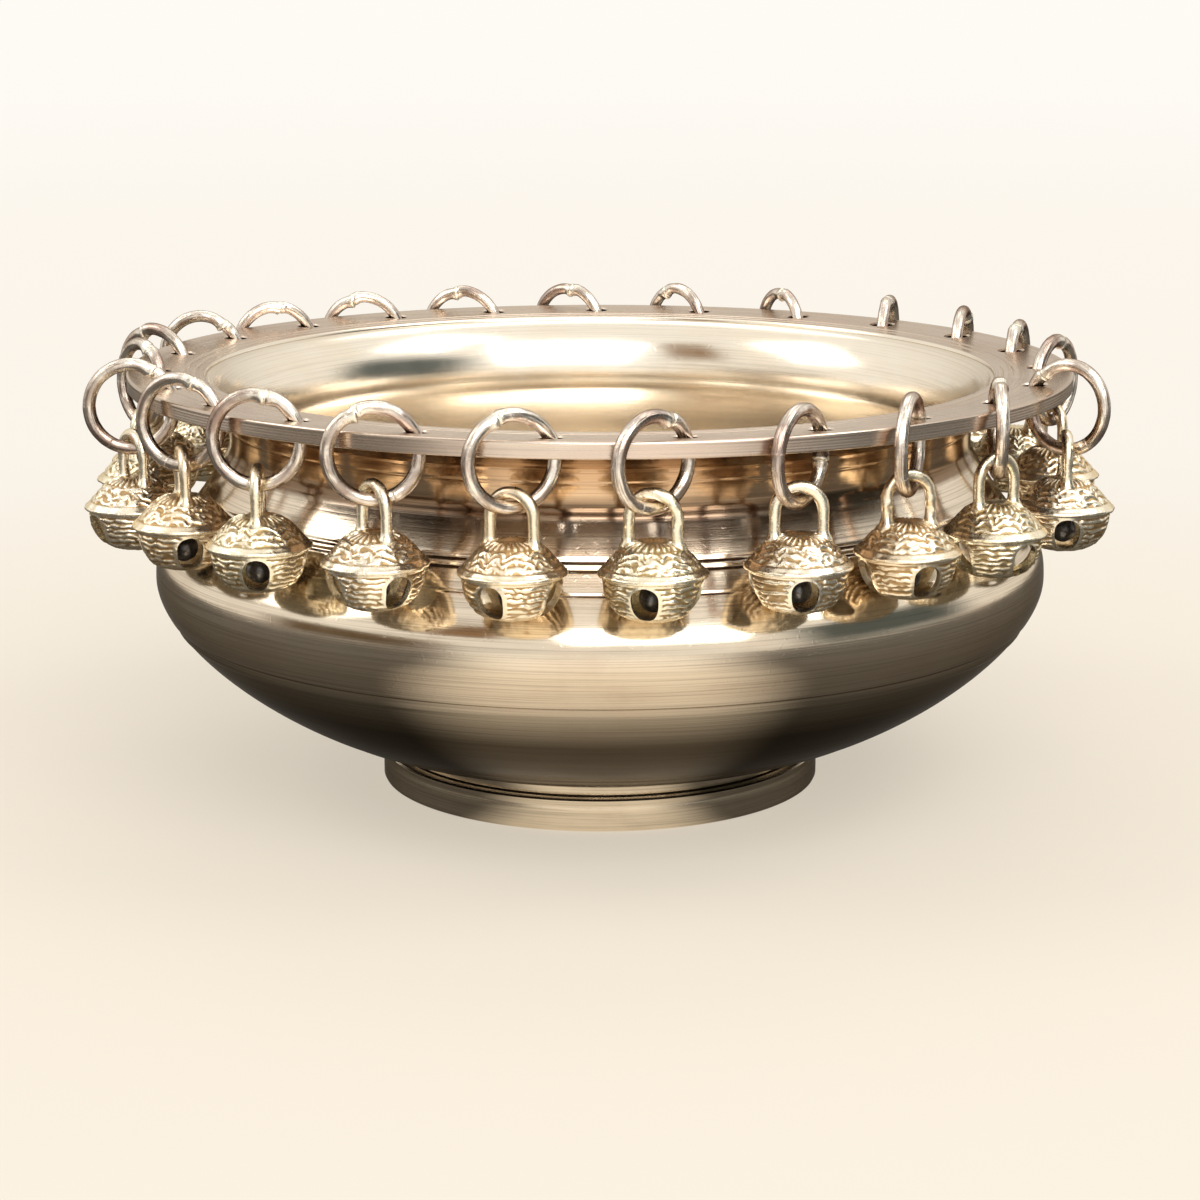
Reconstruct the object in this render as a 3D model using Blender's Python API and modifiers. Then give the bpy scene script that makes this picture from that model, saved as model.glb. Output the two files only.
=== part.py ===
"""Urli bowl: a turned brass bowl with small cast bells hung on wire rings round its rim.

The bowl stands on its foot at the origin, with +Z up and -Y towards the front. Every ring passes
through a hole in the flange and swings on it, every bell swings on its ring, and a loose iron
pellet rolls in a bell. Lengths are metres and angles are degrees, unless a name says otherwise.
"""

import math

import bmesh
import bpy
from mathutils import Matrix, Vector

# Rim flange
RIM_RADIUS = 0.1016
RIM_HEIGHT = 0.0914
FLANGE_WIDTH = 0.0168
FLANGE_THICKNESS = 0.0034
FLANGE_DISH = 0.0009
FLANGE_EDGE_BREAK = 0.0003

# Body wall, from the flange down to the foot
WALL = 0.0032
NECK_ROOT_GAP = 0.0138
WAIST_INSET = 0.0213
WAIST_DROP = 0.0154
CREASE_STEP = 0.0010
CREASE_DROP = 0.0032
SHOULDER_SLOPE = 31.0
BELLY_INSET = 0.0048
BELLY_DROP = 0.0446
UNDERSIDE_SLOPE = 10.0
FLOOR_RISE = 0.0004

# Foot
FOOT_RADIUS = 0.0482
FOOT_HEIGHT = 0.0070
FOOT_WIDTH = 0.0044
FOOT_NECK_STEP = 0.0024
FOOT_NECK_HEIGHT = 0.0024
FOOT_RECESS = 0.0060

# Rings and the holes that they hang in
RING_COUNT = 23
FIRST_RING_ANGLE = -100.42
HOLE_SHIFTS_MEASURED = {6: 0.8, 7: 1.0, 8: 0.5, 9: 1.2}
BACK_HOLE_SHIFT = -0.8
BACK_HOLES_SHIFTED = range(17, 24)
HOLE_INSET = 0.0069
RING_WIRE = 0.0028
RING_OUTSIDE = 0.0203
RING_DROP = 0.0026
RING_TWIST = 58.0
RING_TWISTS_MEASURED = {1: 22.0, 3: 22.0, 12: 22.0, 15: -45.0, 16: -30.0, 23: -22.0}
FIRST_BACK_RING = 13
RING_SWING = 22.0
HOLE_PLAY = 0.0005

# Bells
BELL_RADIUS = 0.0106
BELL_RIDGE = 0.0010
BELL_CROWN_RADIUS = 0.0066
BELL_CROWN_HEIGHT = 0.0048
BELL_APEX_HEIGHT = 0.0065
BELL_BOWL_STEP = 0.0010
BELL_BOWL_TOP = 0.0010
BELL_TURN_IN_RADIUS = 0.0074
BELL_TURN_IN_DEPTH = 0.0070
BELL_DEPTH = 0.0092
BELL_WALL = 0.0013
BELL_SLOT_TOP = 0.0013
BELL_SLOT_BOTTOM = 0.0066
BELL_SLOT_WIDTH = 0.0044
BELL_SLOT_TIP = 0.0024
BELL_TURN = 127.0
BELL_TURNS_MEASURED = {5: 98.0, 6: 113.0}
LOOP_WIRE = 0.0025
LOOP_SPACING = 0.0092
LOOP_HEIGHT = 0.0150
HANG_GAP = 0.0003

# Pellets, in the bells that the front of the bowl shows
PELLET_RADIUS = 0.0028
PELLET_COUNT = 13
PELLET_GAP = 0.0003

# Fullness of the section's curves, as shares of the stretches that they join
NECK_ROOT_PULL = 0.55
NECK_ROOT_SAG = 0.12
WAIST_PULL = 0.55
SHOULDER_PULL = 0.90
BELLY_UPPER_PULL = 0.40
BELLY_LOWER_PULL = 0.32
UNDERSIDE_PULL = 0.50
FLOOR_FLAT = 0.55

# Mesh fineness
BOWL_STEPS = 46
NECK_STRETCHES = 4
SHOULDER_STRETCHES = 5
LOWER_STRETCHES = 7
BELL_SIDES = 12
HOLE_SIDES = 12
RING_STEPS = 16
RING_SIDES = 6
LOOP_STRETCHES = 4
MERGE_DISTANCE = 0.00001
SHARP_ANGLE = 35.0
ROUND_ANGLE = 80.0

# Sizes that follow from those above
MOUTH_RADIUS = RIM_RADIUS - FLANGE_WIDTH
FLANGE_UNDERSIDE = RIM_HEIGHT - FLANGE_THICKNESS
FLANGE_MIDDLE = RIM_HEIGHT - FLANGE_THICKNESS / 2.0
NECK_ROOT_RADIUS = RIM_RADIUS - NECK_ROOT_GAP
WAIST_RADIUS = RIM_RADIUS - WAIST_INSET
BELLY_RADIUS = RIM_RADIUS - BELLY_INSET
WAIST_HEIGHT = RIM_HEIGHT - WAIST_DROP
BELLY_HEIGHT = RIM_HEIGHT - BELLY_DROP
CREASE_RADIUS = WAIST_RADIUS + CREASE_STEP
CREASE_HEIGHT = WAIST_HEIGHT - CREASE_DROP
FOOT_NECK_RADIUS = FOOT_RADIUS - FOOT_NECK_STEP
UNDERSIDE_HEIGHT = FOOT_HEIGHT + FOOT_NECK_HEIGHT
HOLE_CIRCLE = RIM_RADIUS - HOLE_INSET
DRILL_LENGTH = 3.0 * FLANGE_THICKNESS
RING_RADIUS = (RING_OUTSIDE - RING_WIRE) / 2.0
RING_INSIDE = RING_RADIUS - RING_WIRE / 2.0
HANG_DROP = RING_WIRE / 2.0 + LOOP_WIRE / 2.0 + HANG_GAP
BELL_DROP = LOOP_HEIGHT - HANG_DROP


def new_collection(name):
    """Makes a collection in the scene."""
    made = bpy.data.collections.new(name)
    bpy.context.scene.collection.children.link(made)
    return made


def finish_material(name, color, roughness, metallic):
    """Makes the Principled material of one kind of piece."""
    made = bpy.data.materials.new(name)
    made.use_nodes = True
    shader = made.node_tree.nodes["Principled BSDF"]
    shader.inputs["Base Color"].default_value = (*color, 1.0)
    shader.inputs["Roughness"].default_value = roughness
    shader.inputs["Metallic"].default_value = metallic
    return made


def place(name, mesh, collection, material=None):
    """Puts a mesh into a collection as a named object."""
    made = bpy.data.objects.new(name, mesh)
    collection.objects.link(made)
    if material is not None and not mesh.materials:
        mesh.materials.append(material)
    return made


def move_to(obj, collection):
    """Moves an object from the scene's collections to one collection."""
    for old in list(obj.users_collection):
        old.objects.unlink(obj)
    collection.objects.link(obj)


def evaluated_mesh(obj, name):
    """Returns the mesh of an object with its modifiers applied."""
    bpy.context.view_layer.update()
    graph = bpy.context.evaluated_depsgraph_get()
    made = bpy.data.meshes.new_from_object(obj.evaluated_get(graph))
    made.name = name
    return made


def smooth(mesh, sharp_angle=SHARP_ANGLE):
    """Shades a round piece smooth, apart from its real edges."""
    mesh.shade_smooth()
    mesh.set_sharp_from_angle(angle=math.radians(sharp_angle))


def bezier(start, start_handle, end_handle, end, count):
    """Returns count + 1 points along a cubic curve, ends included."""
    points = []
    for step in range(count + 1):
        t = step / count
        weights = ((1 - t) ** 3, 3 * t * (1 - t) ** 2, 3 * t * t * (1 - t), t ** 3)
        corners = (start, start_handle, end_handle, end)
        x = sum(weight * corner[0] for weight, corner in zip(weights, corners))
        z = sum(weight * corner[1] for weight, corner in zip(weights, corners))
        points.append((x, z))
    return points


def turned_profile(name, chains, steps, collection, start_angle=0.0):
    """Turns chains of (radius, height) points round the Z axis with a Screw modifier."""
    turn = math.radians(start_angle)
    mesh = bpy.data.meshes.new(name)
    corners = []
    edges = []
    for points in chains:
        first = len(corners)
        corners += [(r * math.cos(turn), r * math.sin(turn), z) for r, z in points]
        edges += [(first + i, first + i + 1) for i in range(len(points) - 1)]
    mesh.from_pydata(corners, edges, [])
    made = place(name, mesh, collection)
    screw = made.modifiers.new("turn", "SCREW")
    screw.axis = "Z"
    screw.steps = steps
    screw.render_steps = steps
    screw.use_merge_vertices = True
    screw.merge_threshold = MERGE_DISTANCE
    return made


def body_outline():
    """Outer side of the body, from the root of the neck down to the top of the foot's neck."""
    root = (NECK_ROOT_RADIUS, FLANGE_UNDERSIDE)
    waist = (WAIST_RADIUS, WAIST_HEIGHT)
    crease = (CREASE_RADIUS, CREASE_HEIGHT)
    belly = (BELLY_RADIUS, BELLY_HEIGHT)
    under = (FOOT_NECK_RADIUS, UNDERSIDE_HEIGHT)
    neck_drop = FLANGE_UNDERSIDE - WAIST_HEIGHT
    neck = bezier(root, (root[0] - NECK_ROOT_PULL * (root[0] - waist[0]),
                         root[1] - NECK_ROOT_SAG * neck_drop),
                  (waist[0], waist[1] + WAIST_PULL * neck_drop), waist, NECK_STRETCHES)
    slope = math.radians(SHOULDER_SLOPE)
    shoulder_drop = CREASE_HEIGHT - BELLY_HEIGHT
    reach = SHOULDER_PULL * shoulder_drop
    shoulder = bezier(crease, (crease[0] + reach * math.sin(slope), crease[1] - reach * math.cos(slope)),
                      (belly[0], belly[1] + BELLY_UPPER_PULL * shoulder_drop), belly,
                      SHOULDER_STRETCHES)
    rise = math.radians(UNDERSIDE_SLOPE)
    run = UNDERSIDE_PULL * (BELLY_RADIUS - FOOT_NECK_RADIUS)
    lower = bezier(belly, (belly[0], belly[1] - BELLY_LOWER_PULL * (BELLY_HEIGHT - UNDERSIDE_HEIGHT)),
                   (under[0] + run * math.cos(rise), under[1] + run * math.sin(rise)), under,
                   LOWER_STRETCHES)
    return neck + shoulder + lower[1:]


def inner_side(outline):
    """Offsets the outer side inward by the wall, from the mouth down to above the foot."""
    made = []
    for i in range(1, len(outline) - 1):
        before = Vector(outline[i - 1])
        after = Vector(outline[i + 1])
        along = (after - before).normalized()
        inward = Vector((along.y, -along.x))
        point = Vector(outline[i]) + WALL * inward
        made.append((point.x, point.y))
    return made


def bowl_outline():
    """The bowl's whole section, from the middle of its floor round the rim to its underside."""
    outer = body_outline()
    inner = inner_side(outer)
    mouth_height = RIM_HEIGHT - FLANGE_DISH
    floor = FOOT_RECESS + WALL
    edge = FLANGE_EDGE_BREAK
    profile = [(0.0, floor), (FLOOR_FLAT * FOOT_NECK_RADIUS, floor + FLOOR_RISE)]
    profile += list(reversed(inner))
    profile += [(MOUTH_RADIUS, mouth_height), (RIM_RADIUS - edge, RIM_HEIGHT)]
    profile += [(RIM_RADIUS, RIM_HEIGHT - edge), (RIM_RADIUS, FLANGE_UNDERSIDE)]
    profile += outer
    profile += [(FOOT_NECK_RADIUS, FOOT_HEIGHT), (FOOT_RADIUS, FOOT_HEIGHT), (FOOT_RADIUS, 0.0)]
    profile += [(FOOT_RADIUS - FOOT_WIDTH, 0.0), (FOOT_RADIUS - FOOT_WIDTH, FOOT_RECESS)]
    profile += [(0.0, FOOT_RECESS)]
    return profile


def ring_angle(number):
    """Angle of a ring's hole round the rim, from the front towards +X."""
    back_shift = BACK_HOLE_SHIFT if number in BACK_HOLES_SHIFTED else 0.0
    shift = HOLE_SHIFTS_MEASURED.get(number, back_shift)
    return FIRST_RING_ANGLE + (number - 1) * 360.0 / RING_COUNT + shift


def ring_twist(number):
    """Angle between a ring's plane and the straight line out of the bowl.

    The rings of the front half lean one way, and those of the back half the other.
    """
    lean = RING_TWIST if number < FIRST_BACK_RING else -RING_TWIST
    return RING_TWISTS_MEASURED.get(number, lean)


def bell_turn(number):
    """Angle between a bell's loop and its ring, mirrored where the ring leans the other way."""
    turn = BELL_TURNS_MEASURED.get(number, BELL_TURN)
    return math.copysign(turn, ring_twist(number))


def hole_centre(number):
    """Middle of a ring's hole, halfway through the flange."""
    angle = math.radians(ring_angle(number))
    return Vector((HOLE_CIRCLE * math.sin(angle), -HOLE_CIRCLE * math.cos(angle), FLANGE_MIDDLE))


def ring_reach():
    """Distance along the ring's plane from its hole's axis to its centre.

    The wire runs through the hole at a slant, so it is centred between the flange's two faces.
    """
    upper = RING_DROP + FLANGE_THICKNESS / 2.0
    lower = RING_DROP - FLANGE_THICKNESS / 2.0
    near = math.sqrt(RING_INSIDE ** 2 - upper ** 2)
    far = math.sqrt((RING_OUTSIDE / 2.0) ** 2 - max(lower, 0.0) ** 2)
    return (near + far) / 2.0


def hole_radius():
    """Radius that lets the slanting wire pass and swing without touching the flange."""
    upper = RING_DROP + FLANGE_THICKNESS / 2.0
    slant = ring_reach() - math.sqrt(RING_INSIDE ** 2 - upper ** 2)
    sway = FLANGE_THICKNESS / 2.0 * math.tan(math.radians(RING_SWING))
    return math.hypot(slant, sway) + HOLE_PLAY / math.cos(math.pi / HOLE_SIDES)


def make_bowl(collection, cutters, material):
    """Turns the bowl and drills the ring holes through its flange."""
    blank = turned_profile("bowl_blank", [bowl_outline()], BOWL_STEPS, cutters)
    mesh = evaluated_mesh(blank, "bowl")
    bpy.data.objects.remove(blank)
    bowl = place("bowl", mesh, collection, material)
    for number in range(1, RING_COUNT + 1):
        turn = Matrix.Rotation(math.radians(ring_angle(number)), 4, "Z")
        bpy.ops.mesh.primitive_cylinder_add(vertices=HOLE_SIDES, radius=hole_radius(),
                                            depth=DRILL_LENGTH)
        drill = bpy.context.object
        drill.name = f"hole_cutter_{number:02d}"
        drill.matrix_world = Matrix.Translation(hole_centre(number)) @ turn
        drill.display_type = "WIRE"
        drill.hide_render = True
        move_to(drill, cutters)
    holes = bowl.modifiers.new("ring_holes", "BOOLEAN")
    holes.operand_type = "COLLECTION"
    holes.collection = cutters
    holes.solver = "EXACT"
    bpy.context.view_layer.update()
    smooth(bowl.data)
    return bowl


def ring_mesh():
    """A closed wire ring, standing in the XZ plane, with its hole's middle at the origin."""
    bpy.ops.mesh.primitive_torus_add(major_segments=RING_STEPS, minor_segments=RING_SIDES,
                                     major_radius=RING_RADIUS, minor_radius=RING_WIRE / 2.0)
    torus = bpy.context.object
    mesh = torus.data
    bpy.data.objects.remove(torus)
    stand = Matrix.Rotation(math.radians(90.0), 4, "X")
    mesh.transform(Matrix.Translation((ring_reach(), 0.0, -RING_DROP)) @ stand)
    smooth(mesh, ROUND_ANGLE)
    return mesh


def bell_outline():
    """Outer side of a bell, from its top to its bottom, with its equator at height 0."""
    half_ridge = BELL_RIDGE / 2.0
    return [(0.0, BELL_APEX_HEIGHT), (BELL_CROWN_RADIUS, BELL_CROWN_HEIGHT),
            (BELL_RADIUS, half_ridge), (BELL_RADIUS, -half_ridge),
            (BELL_RADIUS - BELL_BOWL_STEP, -BELL_BOWL_TOP),
            (BELL_TURN_IN_RADIUS, -BELL_TURN_IN_DEPTH), (0.0, -BELL_DEPTH)]


def meeting_point(first, second):
    """Point of the section where two straight lines cross, each given by two points."""
    (ax, az), (bx, bz) = first
    (cx, cz), (dx, dz) = second
    run = Vector((bx - ax, bz - az))
    other = Vector((dx - cx, dz - cz))
    share = ((cx - ax) * other.y - (cz - az) * other.x) / (run.x * other.y - run.y * other.x)
    return (ax + share * run.x, az + share * run.y)


def bell_hollow():
    """The hollow's side, from its bottom to its top: the outer side's lines, moved in by the wall."""
    apex, crown, rim, _, bowl, turn_in, base = bell_outline()
    corner = meeting_point((crown, rim), (bowl, turn_in))
    corners = [apex, crown, corner, turn_in, base]
    lines = []
    for start, end in zip(corners, corners[1:]):
        along = Vector((end[0] - start[0], end[1] - start[1])).normalized()
        inward = BELL_WALL * Vector((along.y, -along.x))
        lines.append(((start[0] + inward.x, start[1] + inward.y), (end[0] + inward.x, end[1] + inward.y)))
    axis = ((0.0, BELL_APEX_HEIGHT), (0.0, -BELL_DEPTH))
    hollow = [meeting_point(axis, lines[0])]
    hollow += [meeting_point(above, below) for above, below in zip(lines, lines[1:])]
    hollow.append(meeting_point(axis, lines[-1]))
    return list(reversed(hollow))


def slot_cutter(collection, turn):
    """A tapered bar across the bell that cuts two opposite sound slots."""
    bpy.ops.mesh.primitive_cube_add(size=1.0)
    bar = bpy.context.object
    bar.name = f"slot_cutter_{turn:03.0f}"
    length = 2.0 * (BELL_RADIUS + BELL_WALL)
    for vertex in bar.data.vertices:
        at_top = vertex.co.z > 0.0
        width = BELL_SLOT_WIDTH if at_top else BELL_SLOT_TIP
        height = -BELL_SLOT_TOP if at_top else -BELL_SLOT_BOTTOM
        vertex.co = (vertex.co.x * length, vertex.co.y * width, height)
    bar.data.transform(Matrix.Rotation(math.radians(turn), 4, "Z"))
    move_to(bar, collection)
    return bar


def loop_mesh(collection):
    """The bell's wire loop: two legs and a round top, as a welded mesh."""
    half = LOOP_SPACING / 2.0
    spring = LOOP_HEIGHT - half
    crown_flat = BELL_CROWN_RADIUS * math.cos(math.pi / BELL_SIDES)
    slope = math.atan2(BELL_APEX_HEIGHT - BELL_CROWN_HEIGHT, crown_flat)
    foot = BELL_APEX_HEIGHT - half * math.tan(slope) - BELL_WALL / 2.0 / math.cos(slope)
    path = [(-half, foot)]
    for step in range(LOOP_STRETCHES + 1):
        angle = math.pi * (1.0 - step / LOOP_STRETCHES)
        path.append((half * math.cos(angle), spring + half * math.sin(angle)))
    path.append((half, foot))
    curve = bpy.data.curves.new("loop", "CURVE")
    curve.dimensions = "3D"
    curve.bevel_depth = LOOP_WIRE / 2.0
    curve.bevel_resolution = 1
    curve.use_fill_caps = True
    spline = curve.splines.new("POLY")
    spline.points.add(len(path) - 1)
    for point, (x, z) in zip(spline.points, path):
        point.co = (x, 0.0, z, 1.0)
    guide = bpy.data.objects.new("loop_guide", curve)
    collection.objects.link(guide)
    mesh = evaluated_mesh(guide, "bell_loop")
    bpy.data.objects.remove(guide)
    shape = bmesh.new()
    shape.from_mesh(mesh)
    bmesh.ops.remove_doubles(shape, verts=shape.verts, dist=MERGE_DISTANCE)
    bmesh.ops.recalc_face_normals(shape, faces=shape.faces)
    shape.to_mesh(mesh)
    shape.free()
    return mesh


def bell_mesh(collection):
    """A hollow bell with four slots and its loop, with the ring's wire through the origin."""
    shell = turned_profile("bell_shell", [bell_outline(), bell_hollow()], BELL_SIDES, collection,
                           180.0 / BELL_SIDES)
    tools = [(slot_cutter(collection, 0.0), "DIFFERENCE"),
             (slot_cutter(collection, 90.0), "DIFFERENCE"),
             (place("loop_tool", loop_mesh(collection), collection), "UNION")]
    for tool, operation in tools:
        change = shell.modifiers.new(tool.name, "BOOLEAN")
        change.operation = operation
        change.solver = "EXACT"
        change.object = tool
    mesh = evaluated_mesh(shell, "bell")
    bpy.data.objects.remove(shell)
    for tool, _ in tools:
        bpy.data.objects.remove(tool)
    mesh.transform(Matrix.Translation((0.0, 0.0, -BELL_DROP)))
    smooth(mesh)
    return mesh


def pellet_height():
    """Height of a pellet's centre in its bell, below the bell's equator."""
    slope = math.atan2(BELL_DEPTH - BELL_TURN_IN_DEPTH, BELL_TURN_IN_RADIUS)
    return -BELL_DEPTH + (BELL_WALL + PELLET_RADIUS + PELLET_GAP) / math.cos(slope)


def pellet_mesh():
    """A loose iron pellet, hung below the origin by the radius of its rolling path."""
    bpy.ops.mesh.primitive_ico_sphere_add(subdivisions=2, radius=PELLET_RADIUS)
    ball = bpy.context.object
    mesh = ball.data
    bpy.data.objects.remove(ball)
    mesh.transform(Matrix.Translation((0.0, 0.0, pellet_height())))
    smooth(mesh, ROUND_ANGLE)
    return mesh


def hang_set(number, meshes, frame, collection, materials):
    """Hangs one ring, its bell and, at the front, the bell's pellet."""
    ring = place(f"ring_{number:02d}", meshes["ring"], collection, materials["ring"])
    ring.parent = frame
    ring.location = hole_centre(number)
    plane = ring_angle(number) - ring_twist(number)
    ring.rotation_euler = (0.0, 0.0, math.radians(plane - 90.0))
    bell = place(f"bell_{number:02d}", meshes["bell"], collection, materials["bell"])
    bell.parent = ring
    bell.location = (ring_reach(), 0.0, -RING_DROP - RING_RADIUS)
    bell.rotation_euler = (0.0, 0.0, math.radians(bell_turn(number)))
    if number <= PELLET_COUNT:
        pellet = place(f"pellet_{number:02d}", meshes["pellet"], collection, materials["pellet"])
        pellet.parent = bell
        pellet.location = (0.0, 0.0, -BELL_DROP)


def main():
    """Builds the whole urli bowl."""
    for old in list(bpy.data.objects):
        bpy.data.objects.remove(old)
    parts = new_collection("urli_bowl")
    cutters = new_collection("cutters")
    workshop = new_collection("workshop")
    materials = {
        "bowl": finish_material("turned_brass", (0.72, 0.55, 0.36), 0.28, 1.0),
        "ring": finish_material("wire_brass", (0.62, 0.52, 0.42), 0.35, 1.0),
        "bell": finish_material("cast_brass", (0.78, 0.58, 0.26), 0.38, 1.0),
        "pellet": finish_material("iron", (0.10, 0.10, 0.11), 0.55, 0.9),
    }
    frame = bpy.data.objects.new("urli_bowl_frame", None)
    parts.objects.link(frame)
    bowl = make_bowl(parts, cutters, materials["bowl"])
    bowl.parent = frame
    meshes = {"ring": ring_mesh(), "bell": bell_mesh(workshop), "pellet": pellet_mesh()}
    for number in range(1, RING_COUNT + 1):
        hang_set(number, meshes, frame, parts, materials)
    bpy.data.collections.remove(workshop)
    bpy.context.view_layer.update()


main()
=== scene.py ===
"""Urli bowl: the dressed scene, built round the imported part.

A turned brass bowl stands on its foot, with cast bells hung on wire rings through its flange.
Every sub-assembly is a class that holds its sizes and builds its own pieces. Lengths are metres
and angles are degrees, unless a name says otherwise.
"""

import logging
import math
from collections.abc import Sequence
from dataclasses import dataclass, field
from enum import Enum
from typing import Any

import bmesh
import bpy
import numpy as np
from mathutils import Matrix, Vector
from mathutils.kdtree import KDTree


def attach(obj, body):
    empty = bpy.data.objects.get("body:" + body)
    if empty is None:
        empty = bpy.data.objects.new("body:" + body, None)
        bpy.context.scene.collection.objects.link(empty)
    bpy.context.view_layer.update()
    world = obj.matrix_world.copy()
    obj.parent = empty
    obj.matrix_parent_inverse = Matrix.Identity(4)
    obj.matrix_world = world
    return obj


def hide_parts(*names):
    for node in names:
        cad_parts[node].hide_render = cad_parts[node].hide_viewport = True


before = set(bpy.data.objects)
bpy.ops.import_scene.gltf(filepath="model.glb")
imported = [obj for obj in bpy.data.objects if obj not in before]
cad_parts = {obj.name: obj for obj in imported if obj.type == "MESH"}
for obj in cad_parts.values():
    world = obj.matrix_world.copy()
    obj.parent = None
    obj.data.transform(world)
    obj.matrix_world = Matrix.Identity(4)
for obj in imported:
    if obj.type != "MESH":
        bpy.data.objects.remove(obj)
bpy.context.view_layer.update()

LOG = logging.getLogger("urli_bowl")

Color = tuple[float, float, float]
Point = tuple[float, float]
Faces = list[tuple[int, ...]]

FULL_TURN = 360.0
MILLIMETRE = 0.001
WELD = 0.000002
BLACK: Color = (0.0, 0.0, 0.0)


class Side(Enum):
    """Which surface of the bowl a stretch of its section belongs to."""

    INSIDE = 0
    RIM = 1
    OUTSIDE = 2
    FOOT = 3


class Cast(Enum):
    """How the bells' wire loops came out of the mould."""

    CLEAN = 0.25
    LUMPY = 1.0


# Node trees


@dataclass(frozen=True)
class Signal:
    """A socket of a node tree that stands in arithmetic."""

    sheet: "NodeSheet"
    socket: bpy.types.NodeSocket

    def _math(self, operation: str, *values: "Signal | float") -> "Signal":
        """Adds one Math node that takes the values in order."""
        return self.sheet.node("ShaderNodeMath", {"operation": operation}, dict(enumerate(values)))

    def __add__(self, other: "Signal | float") -> "Signal":
        """Sum."""
        return self._math("ADD", self, other)

    def __radd__(self, other: float) -> "Signal":
        """Sum with a plain number first."""
        return self._math("ADD", other, self)

    def __sub__(self, other: "Signal | float") -> "Signal":
        """Difference."""
        return self._math("SUBTRACT", self, other)

    def __rsub__(self, other: float) -> "Signal":
        """Difference with a plain number first."""
        return self._math("SUBTRACT", other, self)

    def __mul__(self, other: "Signal | float") -> "Signal":
        """Product."""
        return self._math("MULTIPLY", self, other)

    def __rmul__(self, other: float) -> "Signal":
        """Product with a plain number first."""
        return self._math("MULTIPLY", other, self)

    def __truediv__(self, other: "Signal | float") -> "Signal":
        """Quotient."""
        return self._math("DIVIDE", self, other)

    def __rtruediv__(self, other: float) -> "Signal":
        """Quotient with a plain number first."""
        return self._math("DIVIDE", other, self)

    def clamped(self) -> "Signal":
        """The value, kept between 0 and 1."""
        return self.sheet.node("ShaderNodeClamp", {}, {0: self})

    def root(self) -> "Signal":
        """Square root."""
        return self._math("SQRT", self)


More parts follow.
